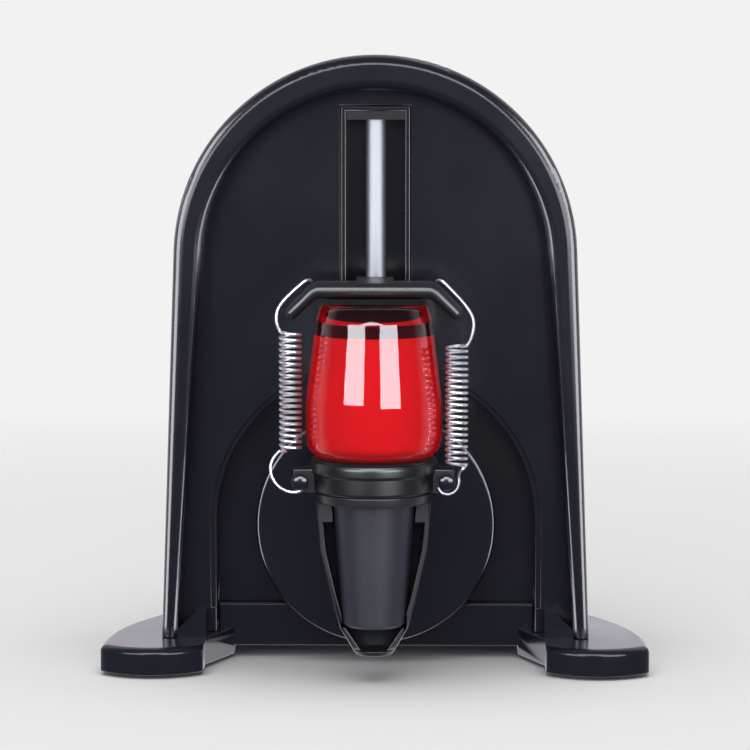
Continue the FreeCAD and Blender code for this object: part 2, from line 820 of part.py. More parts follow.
def make_front_shell():
    """Arched front: rim, recessed panel, well, and openings for the channel and the shaft."""
    outer = arch(s.arch_radius, s.arch_centre, s.arch_foot_half, s.base_top)
    rim = upright_plate("front_rim", outer, 0, s.shell_depth)
    pocket = rim.newObject("PartDesign::Pocket", "front_recess")
    pocket.Profile = add_sketch(rim, "XZ_Plane",
                                arch(s.recess_radius, s.recess_centre, s.recess_foot_half,
                                     s.base_top - s.past), s.shell_depth)
    bind(pocket, Length=s.recess_depth)
    rim.Tip = pocket
    front_y = -s.shell_depth.value
    on_front = lies_at_y(front_y)
    foot = (s.base_top + s.past).value
    round_edges(rim, s.rim_round, lambda edge: on_front(edge) and edge.BoundBox.ZMax > foot)

    wall = s.shell_wall
    panel_back = s.recess_depth + wall
    well_back = s.well_depth + s.well_floor
    behind = upright_plate("front_hollow",
                           arch(s.arch_radius - wall, s.arch_centre, s.arch_foot_half - wall,
                                s.base_top - s.past), panel_back, s.shell_depth + s.past)
    well_wall = upright_plate("well_wall", arch(s.well_radius + wall, s.disc_centre,
                                                s.well_radius + wall, s.base_top),
                              s.recess_depth, well_back)
    posts = [cylinder(f"post_{number}", s.post_radius, s.post_end - s.recess_depth, x,
                      at_depth(s.recess_depth), z)
             for number, (x, z) in enumerate(post_places(), start=1)]
    bracket_posts = [cylinder(f"bracket_post_{number}", s.bracket_post_radius,
                              s.motor_front_depth - s.recess_depth, x, at_depth(s.recess_depth), z)
                     for number, (x, z) in enumerate(bracket_screw_places(), start=1)]
    foot_blocks = [foot_block(side) for side in (-1, 1)]
    hollowed = cut("front_shell_blank", rim, behind)
    solid = fuse("front_shell_solid", hollowed, well_wall, *posts, *bracket_posts, *foot_blocks,
                 *base_bosses("front_boss", rear=False))

    well = upright_plate("well_opening", arch(s.well_radius, s.disc_centre, s.well_radius,
                                              s.base_top - s.past),
                         s.recess_depth - s.past, s.well_depth)
    lip = well_lip_cutter()
    slot_half = s.channel_half + s.channel_wall + s.seat_gap
    slot = box("channel_opening", (-slot_half, slot_half),
               (at_depth(s.recess_depth - s.past), at_depth(well_back)),
               (s.channel_bottom - s.channel_wall - s.seat_gap,
                s.channel_top + s.channel_wall + s.seat_gap))
    shaft_hole = cylinder("shaft_opening", s.shaft_opening_radius, well_back, 0,
                          at_depth(s.recess_depth), s.disc_centre)
    bores = [cylinder(f"post_bore_{number}", s.screw_radius - s.fit_gap * 2, s.post_end, x,
                      at_depth(panel_back), z)
             for number, (x, z) in enumerate(post_places(), start=1)]
    bores += [cylinder(f"bracket_bore_{number}", s.screw_radius + s.fit_gap, s.post_end * 2, x,
                       at_depth(s.post_end), z)
              for number, (x, z) in enumerate(bracket_screw_places(), start=1)]
    bores += [cylinder(f"housing_bore_{number}", s.screw_radius + s.fit_gap, s.well_depth, x,
                       at_depth(s.well_depth + s.bore_floor), z)
              for number, (x, z) in enumerate(housing_screw_places(), start=1)]
    bores += base_screw_cylinders("front_base_bore", s.screw_radius - s.fit_gap, s.base_top - s.past,
                                  s.sill_top - s.bore_floor)
    node(cut("front_shell", solid, well, lip, slot, shaft_hole, *bores))


def foot_block(side):
    """Low sloped block that fills the corner between the panel's foot and the rim."""
    inner = s.well_radius + s.shell_wall
    outer = s.recess_foot_half
    low = s.base_top
    top = s.sill_top
    corners = [(inner * side, low), (outer * side, low), (outer * side, low + s.foot_block_low),
               ((inner + s.foot_block_flat) * side, top), (inner * side, top)]
    if side < 0:
        corners.reverse()
    return upright_plate(f"foot_block_{'left' if side < 0 else 'right'}", corners,
                         s.rim_round, s.recess_depth + s.past)


def well_lip_cutter():
    """Shallow wider arch that leaves a step round the mouth of the well."""
    lip_radius = s.well_radius + s.well_lip
    return upright_plate("well_lip_cutter", arch(lip_radius, s.disc_centre, lip_radius,
                                                 s.sill_top),
                         s.recess_depth - s.past, s.recess_depth + s.well_lip_depth)


def make_rear_cover():
    """Deep rear cover with rounded back edges, vents, screw sleeves and openings."""
    inset = s.cover_inset
    outer = upright_plate("cover_outer", arch(s.arch_radius - inset, s.arch_centre,
                                              s.arch_foot_half - inset, s.base_top),
                          s.shell_depth, s.cover_back)
    foot = (s.base_top + s.past).value
    at_back = lies_at_y(0)
    round_edges(outer, s.cover_round, lambda edge: at_back(edge) and edge.BoundBox.ZMax > foot)
    gap = inset + s.cover_wall
    inner = upright_plate("cover_inner", arch(s.arch_radius - gap, s.arch_centre,
                                              s.arch_foot_half - gap, s.base_top - s.past),
                          s.shell_depth - s.past, s.cover_back - s.cover_wall)
    round_edges(inner, s.cover_round - s.cover_wall,
                lambda edge: at_back(edge) and edge.BoundBox.ZMax > foot)
    shell = cut("cover_shell", outer, inner)
    sleeve_start = s.post_end + s.slide_gap
    sleeves = [cylinder(f"sleeve_{number}", s.post_radius, s.cover_back - s.cover_wall / 2 - sleeve_start,
                        x, at_depth(sleeve_start), z)
               for number, (x, z) in enumerate(post_places(), start=1)]
    sleeves = [common(f"sleeve_trim_{number}", sleeve, outer)
               for number, sleeve in enumerate(sleeves, start=1)]
    head_seat = sleeve_start + s.shell_wall
    holes = [cylinder(f"cover_hole_{number}", s.screw_radius + s.seat_gap, s.cover_back, x,
                      at_depth(s.post_end), z)
             for number, (x, z) in enumerate(post_places(), start=1)]
    holes += [cylinder(f"cover_head_hole_{number}", s.screw_head_radius + s.slide_gap, s.cover_back,
                       x, at_depth(head_seat), z)
              for number, (x, z) in enumerate(post_places(), start=1)]
    vents = []
    for side in (-1, 1):
        for step in range(VENTS):
            z = s.vent_first + s.vent_pitch * step
            near, far = s.vent_side, s.vent_side + s.vent_length
            x = (near, far) if side > 0 else (-far, -near)
            vents.append(box(f"vent_{len(vents) + 1}", x,
                             (at_depth(s.cover_back - s.cover_wall - s.past),
                              at_depth(s.cover_back + s.past)), (z, z + s.vent_width)))
    button_hole = cylinder("button_opening", s.button_radius + s.bezel_width, s.cover_wall * 3, 0,
                           at_depth(s.cover_back - s.cover_wall * 2), s.button_height)
    jack_hole = cylinder("jack_opening", s.jack_radius + s.seat_gap, s.cover_wall * 3, s.jack_x,
                         at_depth(s.cover_back - s.cover_wall * 2), s.jack_height)
    bosses = [common(f"cover_boss_trim_{number}", block, outer)
              for number, block in enumerate(base_bosses("cover_boss", rear=True), start=1)]
    holes += base_screw_cylinders("cover_base_bore", s.screw_radius - s.fit_gap, s.base_top - s.past,
                                  s.sill_top - s.bore_floor)
    board_posts, board_bores = board_supports()
    body = fuse("cover_body", shell, *sleeves, *bosses, *board_posts)
    node(cut("rear_cover", body, *holes, *vents, *board_bores, button_hole, jack_hole))


def make_channel():
    """Guide channel with a narrow frame, the polished rod and its two seats."""
    half, wall = s.channel_half, s.channel_wall
    front = at_depth(s.recess_depth - s.channel_proud)
    back = at_depth(s.channel_depth)
    outer = box("channel_outer", (-half - wall, half + wall), (front, back + wall),
                (s.channel_bottom - wall, s.channel_top + wall))
    inner = box("channel_inner", (-half, half), (front - s.past, back), (s.channel_bottom, s.channel_top))
    node(cut("rod_channel", outer, inner))

    rod_y = at_depth(s.rod_depth)
    seat_half = half - s.seat_gap
    seats = []
    for name, bottom in (("lower", s.channel_bottom), ("upper", s.channel_top - s.rod_seat_height)):
        block = box(f"{name}_seat_block", (-seat_half, seat_half),
                    (at_depth(s.recess_depth + s.slide_gap), back), (bottom, bottom + s.rod_seat_height))
        hole = cylinder(f"{name}_seat_hole", s.rod_radius + s.fit_gap, s.rod_seat_height * 2, 0, rod_y,
                        bottom - s.past, ALONG_Z)
        seats.append(cut(f"{name}_seat", block, hole))
    node(group("rod_seats", seats))
    node(cylinder("guide_rod", s.rod_radius, s.channel_top - s.channel_bottom, 0, rod_y,
                  s.channel_bottom, ALONG_Z))


# ---------------------------------------------------------------- drive


def bearing(name, bore, outside, width, x, y, z):
    """Deep-groove ball bearing: the outer ring with its balls, and the inner ring."""
    ball_radius = (outside - bore) / BALL_SHARE
    middle = (outside + bore) / 2
    race = ball_radius * RACE_SHARE
    groove = ball_radius + s.fit_gap / 2
    outer = turned(f"{name}_outer_ring", tube_profile(middle + race, outside, width, s.bearing_edge), x, y, z)
    inner = turned(f"{name}_inner_blank", tube_profile(bore, middle - race, width), x, y, z)
    track = doc.addObject("Part::Torus", f"{name}_track")
    bind(track, Radius1=middle, Radius2=groove)
    place(track, x, y + width / 2, z, ALONG_Y)
    balls = []
    for number in range(BALLS):
        angle = 2 * math.pi * number / BALLS
        balls.append(ball(f"{name}_ball_{number + 1}", ball_radius, x + middle * math.cos(angle),
                          y + width / 2, z + middle * math.sin(angle)))
    outer_ring = cut(f"{name}_outer_race", outer, track)
    node(group(f"{name}_outer", [outer_ring] + balls))
    node(cut(f"{name}_inner", inner, track))


def housing_screw_places():
    """X and height of the three screws of the bearing housing."""
    reach = (s.housing_radius + s.housing_flange_radius) / 2
    angles = [math.radians(degrees) for degrees in (0, 120, 240)]
    return [(reach * math.sin(angle), s.disc_centre + reach * math.cos(angle)) for angle in angles]


def screw(label, x, y, z, length, turn=ALONG_Y, head=None):
    """Pan-head screw; its head's seat is at the point and its shank runs back against the turn."""
    height = head or s.screw_head_height
    end = -size(length)
    shank = s.screw_radius - s.fit_gap * 2
    profile = [(0, end), (s.screw_tip_radius, end), (shank, end + s.screw_tip), (shank, 0),
               (s.screw_head_radius, 0), (s.screw_head_radius, height * HEAD_EDGE),
               (s.screw_head_radius * HEAD_CROWN, height), (0, height)]
    return turned(label, profile, x, y, z, turn)


def make_bearing_housing():
    """Housing behind the well floor with a ball bearing at each end."""
    start = s.well_depth + s.well_floor
    length = s.bearing_width + s.bearing_span
    relief = s.bearing_radius - s.bearing_stop
    profile = [(s.bearing_radius + s.fit_gap, 0), (s.housing_flange_radius, 0),
               (s.housing_flange_radius, s.housing_flange), (s.housing_radius, s.housing_flange),
               (s.housing_radius, length), (s.bearing_radius + s.fit_gap, length),
               (s.bearing_radius + s.fit_gap, s.bearing_span), (relief, s.bearing_span),
               (relief, s.bearing_width), (s.bearing_radius + s.fit_gap, s.bearing_width)]
    blank = turned("housing_blank", profile, 0, at_depth(start), s.disc_centre)
    holes = [cylinder(f"housing_hole_{number}", s.screw_radius + s.seat_gap, s.housing_flange * 2, x,
                      at_depth(start - s.past), z)
             for number, (x, z) in enumerate(housing_screw_places(), start=1)]
    node(cut("bearing_housing", blank, *holes))
    seat = at_depth(start + s.housing_flange)
    node(group("housing_screws", [screw(f"housing_screw_{number}", x, seat, z,
                                        s.housing_flange + s.well_floor - s.bore_floor * 3)
                                  for number, (x, z) in enumerate(housing_screw_places(), start=1)]))
    for name, depth in (("front_bearing", start), ("rear_bearing", start + s.bearing_span)):
        bearing(name, s.shaft_radius + s.fit_gap / 2, s.bearing_radius, s.bearing_width, 0,
                at_depth(depth), s.disc_centre)


def make_crank():
    """Disc, drive shaft, counterweight, crank pin and driven pulley, all turning together."""
    disc_y = at_depth(s.disc_depth)
    edge, thick = s.disc_edge_round, s.disc_thickness
    bore = s.shaft_radius + s.fit_gap / 2
    hub_end = s.well_depth - s.disc_depth - s.spin_gap
    profile = [(bore, 0), (s.disc_radius - edge, 0), (s.disc_radius, edge), (s.disc_radius, thick),
               (s.disc_hub_radius, thick), (s.disc_hub_radius, hub_end), (bore, hub_end)]
    blank = turned("disc_blank", profile, 0, disc_y, s.disc_centre)
    pin_z = s.disc_centre - s.crank_radius
    pin_hole = cylinder("pin_hole", s.pin_thread_radius + s.fit_gap, thick * 2, 0,
                        disc_y - s.past, pin_z)
    node(cut("crank_disc", blank, pin_hole))

    pulley_end = s.pulley_depth + s.pulley_width
    shaft_start = s.disc_depth + s.shaft_start
    length = pulley_end + s.shaft_spare - shaft_start
    node(turned("drive_shaft", [(0, 0), (s.shaft_radius - s.shaft_edge, 0), (s.shaft_radius, s.shaft_edge),
                                (s.shaft_radius, length - s.shaft_edge),
                                (s.shaft_radius - s.shaft_edge, length), (0, length)],
                0, at_depth(shaft_start), s.disc_centre))

    weight_y = at_depth(s.disc_depth + thick)
    ring_blank = turned("weight_ring", tube_profile(s.disc_hub_radius + s.slide_gap, s.weight_radius,
                                                    s.weight_thickness, s.weight_edge),
                        0, weight_y, s.disc_centre)
    outside = s.weight_radius + s.past
    upper_half = box("weight_half", (-outside, outside),
                     (weight_y - s.past, weight_y + s.weight_thickness + s.past),
                     (s.disc_centre + s.weight_flat, s.disc_centre + outside))
    node(common("counterweight", ring_blank, upper_half))

    head_front = pin_bearing_front() - s.pin_head_height - s.fit_gap
    node(turned("crank_pin", crank_pin_profile(head_front), 0, at_depth(head_front), pin_z))

    node(grooved_pulley("driven_pulley", s.driven_pulley_radius, bore, 0, s.disc_centre))
    clip_inner = s.shaft_radius + s.fit_gap / 2
    node(turned("pulley_clip", tube_profile(clip_inner, s.shaft_radius + s.clip_width, s.clip_thickness), 0,
                at_depth(pulley_end + s.fit_gap), s.disc_centre))


def pin_bearing_front():
    """Depth of the crank-pin bearing's front face; its back face is level with the spine's boss."""
    return s.disc_depth - s.spin_gap - s.pin_bearing_width


def crank_pin_profile(head_front):
    """Shoulder screw: head, bearing seat, collar against the disc and thread in the disc."""
    head = s.pin_head_height
    seat_end = pin_bearing_front() + s.pin_bearing_width + s.fit_gap - head_front
    disc_face = s.disc_depth - head_front
    thread_end = disc_face + s.disc_thickness - s.pin_thread_spare
    edge = s.pin_head_edge
    collar = s.pin_radius + s.pin_collar
    return [(0, 0), (s.pin_head_radius - edge, 0), (s.pin_head_radius, edge), (s.pin_head_radius, head),
            (s.pin_radius, head), (s.pin_radius, seat_end), (collar, seat_end), (collar, disc_face),
            (s.pin_thread_radius, disc_face), (s.pin_thread_radius, thread_end), (0, thread_end)]


def grooved_pulley(label, radius, bore, x, z):
    """Pulley with a flat-bottomed groove for the belt."""
    width, belt = s.pulley_width, s.belt_width + s.slide_gap * 2
    flange = (width - belt) / 2
    floor = radius - s.groove_depth
    profile = [(bore, 0), (radius, 0), (radius, flange), (floor, flange), (floor, width - flange),
               (radius, width - flange), (radius, width), (bore, width)]
    return turned(label, profile, x, at_depth(s.pulley_depth), z)


def belt_outline(grow):
    """Outline of the belt round both pulleys, as much outside their groove floors as asked."""
    big = s.driven_pulley_radius - s.groove_depth + s.fit_gap + grow
    small = s.motor_pulley_radius - s.groove_depth + s.fit_gap + grow
    dx, dz = s.motor_x, s.motor_height - s.disc_centre
    span = root(dx * dx + dz * dz)
    along_x, along_z = dx / span, dz / span
    lean = (big - small) / span
    side = root(1 - lean * lean)
    corners = []
    for turn, (centre_x, centre_z, radius) in ((1, (0, s.disc_centre, big)),
                                               (1, (s.motor_x, s.motor_height, small)),
                                               (-1, (s.motor_x, s.motor_height, small)),
                                               (-1, (0, s.disc_centre, big))):
        out_x = along_x * lean + along_z * side * turn
        out_z = along_z * lean - along_x * side * turn
        corners.append((centre_x + radius * out_x, centre_z + radius * out_z))
    right_low, right_high, left_high, left_low = corners
    peak = (s.motor_x + along_x * small, s.motor_height + along_z * small)
    bottom = (-(along_x * big), s.disc_centre - along_z * big)
    right_side = (along_z * big, s.disc_centre - along_x * big)
    left_side = (-(along_z * big), s.disc_centre + along_x * big)
    return [(*right_low,), (*right_high, small), (*peak, small), (*left_high,), (*left_low, big),
            (*left_side, big), (*bottom, big), (*right_side, big)]


def make_belt():
    """Flat belt: a thin band round both pulleys."""
    middle = s.pulley_depth + s.pulley_width / 2
    front, back = middle - s.belt_width / 2, middle + s.belt_width / 2
    outer = upright_plate("belt_outer", belt_outline(s.belt_thickness), front, back)
    inner = upright_plate("belt_inner", belt_outline(size(0)), front - s.past,
                          back + s.past)
    node(cut("drive_belt", outer, inner))


def bracket_screw_places():
    """X and height of the two screws that hold the motor bracket to its posts."""
    reach = s.motor_radius + s.post_radius
    return [(s.motor_x, s.motor_height + reach), (s.motor_x, s.motor_height - reach)]


def make_motor():
    """Motor with its bracket, pulley and screws."""
    x, z = s.motor_x, s.motor_height
    face = at_depth(s.motor_front_depth)
    back = face - s.motor_length
    shaft_hole = s.motor_shaft_radius + s.fit_gap
    can_inner = s.motor_radius - s.motor_can_wall
    can_length = s.motor_length - s.motor_cap_depth
    can_profile = [(shaft_hole, 0), (s.motor_radius - s.motor_can_edge, 0),
                   (s.motor_radius, s.motor_can_edge), (s.motor_radius, can_length),
                   (can_inner, can_length), (can_inner, s.motor_face), (shaft_hole, s.motor_face)]
    node(turned("motor_can", can_profile, x, face - s.fit_gap, z, FORWARD))
    cap_start = can_length + s.fit_gap
    cap_edge = s.motor_length - s.motor_can_wall
    node(turned("motor_end_cap", [(0, cap_start), (s.motor_radius, cap_start), (s.motor_radius, cap_edge),
                                  (s.motor_radius - s.motor_cap_depth, s.motor_length),
                                  (0, s.motor_length)], x, face - s.fit_gap, z, FORWARD))
    terminals = []
    for side in (-1, 1):
        middle = x + s.terminal_spacing / 2 * side
        terminals.append(box(f"terminal_{side + 2}",
                             (middle - s.terminal_width / 2, middle + s.terminal_width / 2),
                             (back - s.terminal_length, back - s.fit_gap),
                             (z - s.terminal_thickness / 2, z + s.terminal_thickness / 2)))
    node(group("motor_terminals", terminals))
    magnets = tube_profile(s.armature_radius + s.air_gap, can_inner - s.seat_gap, s.motor_magnet_length)
    node(turned("motor_magnet_ring", magnets, x, face - s.motor_magnet_start, z, FORWARD))
    windings = tube_profile(s.motor_shaft_radius + s.fit_gap / 2, s.armature_radius, s.armature_length,
                            s.shaft_edge)
    node(turned("motor_armature", windings, x, face - s.armature_start, z, FORWARD))
    shaft_end = s.pulley_depth + s.pulley_width + s.motor_shaft_spare
    shaft_start = s.motor_front_depth - s.motor_length + s.motor_cap_depth + s.motor_face
    node(cylinder("motor_shaft", s.motor_shaft_radius, shaft_end - shaft_start, x,
                  at_depth(shaft_start), z))
    node(grooved_pulley("motor_pulley", s.motor_pulley_radius, s.motor_shaft_radius + s.fit_gap / 2,
                        x, z))

    half = s.motor_radius + s.post_radius * 2 + s.bracket_end
    plate = box("bracket_plate", (x - s.bracket_half, x + s.bracket_half),
                (face, face + s.bracket_thickness), (z - half, z + half))
    through = s.bracket_thickness + s.past * 2
    holes = [cylinder("bracket_shaft_hole", s.bracket_hole_radius, through, x, face - s.past, z)]
    holes += [cylinder(f"bracket_hole_{number}", s.screw_radius + s.seat_gap, through, place_x,
                       face - s.past, place_z)
              for number, (place_x, place_z) in enumerate(bracket_screw_places(), start=1)]
    node(cut("motor_bracket", plate, *holes))
    node(group("bracket_screws", [screw(f"bracket_screw_{number}", place_x, face + s.bracket_thickness,
                                        place_z, s.post_radius * 2)
                                  for number, (place_x, place_z) in
                                  enumerate(bracket_screw_places(), start=1)]))


# ---------------------------------------------------------------- carrier, slider and yoke


def make_spine():
    """Upright plate behind the bottle: crank-pin bearing below, yoke guide and pivot above."""
    front, back = s.spine_depth, s.spine_depth + s.spine_thickness
    pin_z = s.disc_centre - s.crank_radius
    plate = box("spine_plate", (-s.spine_half, s.spine_half), (at_depth(front), at_depth(back)),
                (pin_z, s.spine_top))
    boss_front = pin_bearing_front()
    boss = cylinder("spine_boss", s.spine_boss_radius, s.pin_bearing_width, 0, at_depth(boss_front),
                    pin_z)
    rail_inner = s.yoke_tab_half + s.slide_gap
    rail_front = at_depth(front - s.yoke_tab_thickness)
    rail_top = s.yoke_tab_bottom + s.yoke_lift + s.rail_grip
    rails = [box(f"rail_{side + 2}", sorted_pair(rail_inner * side, (rail_inner + s.rail_width) * side),
                 (rail_front, at_depth(front)), (s.rail_bottom, rail_top)) for side in (-1, 1)]
    bearing_hole = cylinder("spine_bearing_hole", s.pin_bearing_radius + s.fit_gap,
                            s.pin_bearing_width * 3, 0, at_depth(boss_front - s.past), pin_z)
    through = s.spine_thickness + s.past * 2
    pivot_hole = cylinder("spine_pivot_hole", s.pivot_radius + s.fit_gap, through, 0,
                          at_depth(front - s.past), s.pivot_height)
    screw_holes = [cylinder(f"spine_hole_{number}", s.screw_radius + s.seat_gap, through, x,
                            at_depth(front - s.past), z)
                   for number, (x, z) in enumerate(ring_screw_places(), start=1)]
    head_holes = [cylinder(f"spine_head_hole_{number}", s.screw_head_radius + s.seat_gap,
                           s.spine_thickness, x, at_depth(back - s.screw_head_height), z)
                  for number, (x, z) in enumerate(ring_screw_places(), start=1)]
    solid = fuse("spine_solid", plate, boss, *rails)
    node(cut("carrier_spine", solid, bearing_hole, pivot_hole, *screw_holes, *head_holes))
    bearing("crank_bearing", s.pin_radius + s.fit_gap / 2, s.pin_bearing_radius,
            s.pin_bearing_width, 0, at_depth(boss_front), pin_z)


def sorted_pair(first, second):
    """Two lengths with the smaller first."""
    return (first, second) if first.value < second.value else (second, first)


def ring_screw_places():
    """X and height of the two screws that hold the ring to the spine."""
    height = (s.ring_bottom + s.ring_step_height) / 2
    return [(s.ring_screw_x * side, height) for side in (-1, 1)]


def make_ring():
    """Collar ring with a seat for the bottle's shoulder, ears, a rear pad and spring pins."""
    axis_y = at_depth(s.bottle_depth)
    bore = s.cap_top_radius + s.slide_gap
    low_radius = s.ring_radius - s.ring_step
    edge, top_edge = s.ring_edge, s.ring_top_edge
    profile = [(bore, s.ring_bottom), (low_radius - edge, s.ring_bottom),
               (low_radius, s.ring_bottom + edge), (low_radius, s.ring_step_height),
               (s.ring_radius, s.ring_step_height + s.ring_step), (s.ring_radius, s.ring_top - top_edge),
               (s.ring_radius - top_edge, s.ring_top), (s.ring_radius - s.shell_wall, s.ring_top),
               (bore, s.glass_bottom - s.slide_gap)]
    blank = turned("ring_blank", profile, 0, axis_y, 0, ALONG_Z)
    ears = box("ring_ears", (-s.ear_half, s.ear_half), (at_depth(s.ear_front_depth),
                                                       at_depth(s.ear_back_depth)),
               (s.ring_bottom, s.ring_bottom + s.ear_height))
    pad = box("ring_pad", (-s.spine_half, s.spine_half), (axis_y + bore - s.past, at_depth(s.spine_depth)),
              (s.ring_bottom, s.ring_top - s.ring_pad_drop))
    clear = cylinder("ring_clearance", bore, s.ring_top, 0, axis_y, s.ring_bottom - s.past, ALONG_Z)
    shoulder = turned("ring_shoulder_room", glass_profile(s.slide_gap), 0, axis_y, 0, ALONG_Z)
    pins = []
    pin_holes = []
    for side in (-1, 1):
        x = s.spring_pin_x * side
        pins.append(turned(f"spring_pin_{side + 2}", spring_pin_profile(), x,
                           at_depth(s.ear_front_depth), s.spring_pin_height, FORWARD))
        pin_holes.append(cylinder(f"spring_pin_hole_{side + 2}", s.spring_pin_radius + s.fit_gap,
                                  s.spring_pin_length + s.slide_gap, x, at_depth(s.ear_front_depth),
                                  s.spring_pin_height))
    bite = s.spine_depth - s.bottle_depth - s.ring_radius + s.shell_wall
    screw_holes = [cylinder(f"ring_hole_{number}", s.screw_radius, bite + s.past, x,
                            at_depth(s.spine_depth - bite), z)
                   for number, (x, z) in enumerate(ring_screw_places(), start=1)]
    solid = fuse("ring_solid", blank, ears, pad)
    node(cut("clamp_ring", solid, clear, shoulder, *pin_holes, *screw_holes))
    node(group("spring_pins", pins))
    seat = at_depth(s.spine_depth + s.spine_thickness - s.screw_head_height)
    length = s.spine_thickness - s.screw_head_height + bite - s.past
    node(group("ring_screws", [screw(f"ring_screw_{number}", x, seat, z, length, ALONG_Y,
                                     s.screw_head_height - s.seat_gap)
                               for number, (x, z) in enumerate(ring_screw_places(), start=1)]))


def spring_pin_profile():
    """Pin with a domed head; the shank sits in the ear and the head stands in front of it."""
    shank, head, dome = s.spring_pin_radius, s.spring_pin_head, s.spring_pin_dome
    reach = s.spring_pin_length
    return [(0, -reach), (shank, -reach), (shank, reach - dome),
            (head, reach - dome, (head * head + dome * dome) / (dome * 2)), (0, reach)]


def make_cup():
    """Thin bullet-shaped cup with guides for the cap, and its front cut away down to the tip."""
    axis_y = at_depth(s.bottle_depth)
    top = s.ring_bottom - s.fit_gap
    lining = s.slide_gap
    end = s.cap_end - lining
    floor = s.cup_bottom + s.cup_floor
    low_bore, high_bore = s.cap_end_radius + lining, s.cap_top_radius + lining
    profile = [(0, s.cup_bottom), (s.cup_bottom_radius, s.cup_bottom + s.cup_bottom_edge),
               (s.cup_tip_radius, s.cup_tip_height), (s.cup_low_radius, s.cup_low_height),
               (s.cup_waist_radius, s.cup_waist_height), (s.cup_top_radius, top), (high_bore, top),
               (low_bore, end), (0, end)]
    blank = turned("cup_blank", profile, 0, axis_y, 0, ALONG_Z)
    reach = s.cup_top_radius + s.past
    window = box("cup_window", (-reach, reach), (axis_y - reach, at_depth(s.window_depth)),
                 (floor, top - s.cup_rim_height))
    web = box("cup_web", (-s.cup_web_half, s.cup_web_half),
              (axis_y + s.cup_low_radius, at_depth(s.spine_depth - s.fit_gap)),
              (s.cup_waist_height, top))
    shell = s.cup_shell
    hollow = turned("cup_hollow", [(0, floor), (s.cup_floor_radius, floor),
                                   (s.cup_tip_radius - shell, s.cup_tip_height),
                                   (s.cup_low_radius - shell, s.cup_low_height),
                                   (s.cup_waist_radius - shell, s.cup_waist_height),
                                   (s.cup_top_radius - shell, top),
                                   (s.cup_top_radius - shell, top + s.past), (0, top + s.past)],
                    0, axis_y, 0, ALONG_Z)
    guides = [box(f"cup_guides_{place_name}", (-reach, reach), (start, start + s.cup_guide_thickness),
                  (top - s.cup_guide_height, top + s.past * 2))
              for place_name, start in (("front", at_depth(s.window_depth)),
                                        ("rear", axis_y + s.window_front))]
    cap_room = turned("cup_cap_room", [(0, end), (low_bore, end), (high_bore, top),
                                       (high_bore, top + s.past), (0, top + s.past)],
                      0, axis_y, 0, ALONG_Z)
    solid = fuse("cup_solid", blank, web)
    node(cut("bottle_cup", solid, cut("cup_room", hollow, *guides), cap_room, window))


def make_springs():
    """Extension spring at each side: a coil with an open hook at each end."""
    y = at_depth(s.spring_depth)
    left_hooks = [low_hook(y), high_hook(y)]
    right_hooks = [mirror(f"right_{hook.Label}", hook) for hook in left_hooks]
    for name, side, hooks in (("left", -1, left_hooks), ("right", 1, right_hooks)):
        node(group(f"spring_{name}", [spring_coil(name, s.spring_x * side, y)] + hooks))


def mirror(label, thing):
    """Copy of an object on the other side of the machine's middle plane."""
    copy = doc.addObject("Part::Mirroring", label)
    copy.Source = thing
    copy.Normal = Vector(1, 0, 0)
    return copy


def spring_coil(name, x, y):
    """Wire swept along the coil's helix."""
    coil_radius = s.spring_radius - s.wire_radius
    length = s.spring_top - s.spring_bottom
    path = doc.addObject("Part::Helix", f"{name}_spring_path")
    bind(path, Radius=coil_radius, Height=length, Pitch=length / s.spring_turns)
    place(path, x, y, s.spring_bottom)
    wire = doc.addObject("Part::Circle", f"{name}_spring_wire")
    bind(wire, Radius=s.wire_radius)
    place(wire, x + coil_radius, y, s.spring_bottom, FORWARD)
    doc.recompute()
    coil = doc.addObject("Part::Sweep", f"{name}_spring_coil")
    coil.Sections = [wire]
    coil.Spine = (path, [f"Edge{number}" for number in range(1, len(path.Shape.Edges) + 1)])
    coil.Solid = True
    coil.Frenet = True
    return coil


def wire_loop(label, radius, x, y, z, start, sweep_angle):
    """Arc of spring wire in the X-Z plane; angles count from X towards -Z."""
    loop = doc.addObject("Part::Torus", label)
    bind(loop, Radius1=radius, Radius2=s.wire_radius)
    loop.Angle3 = sweep_angle
    return place(loop, x, y, z, ALONG_Y * Rotation(Vector(0, 0, 1), start))


def low_hook(y):
    """Left hook that runs from the coil's end round the outside of its spring pin and under it."""
    reach = s.spring_bottom - s.spring_pin_height
    aside = s.spring_x - s.spring_pin_x
    slack = s.wire_radius + s.spring_pin_radius + s.fit_gap
    rise = ((reach - slack) * (reach - slack) - aside * aside) / ((reach - slack) * 2)
    return wire_loop("low_hook", reach - rise, -s.spring_x, y, s.spring_pin_height + rise,
                     LOW_HOOK_START, LOW_HOOK_SWEEP)


def high_hook(y):
    """Left hook from the coil's top round the outside, with its end through the yoke arm's hole."""
    radius = s.high_hook_radius
    loop = wire_loop("high_loop", radius, -s.spring_x, y, s.spring_top + radius,
                     HIGH_HOOK_START, HIGH_HOOK_SWEEP)
    end = cylinder("hook_end", s.wire_radius, s.yoke_back_depth - s.yoke_front_depth, -s.hook_x,
                   y - s.wire_radius / 2, s.hook_height)
    return fuse("high_hook", loop, end)


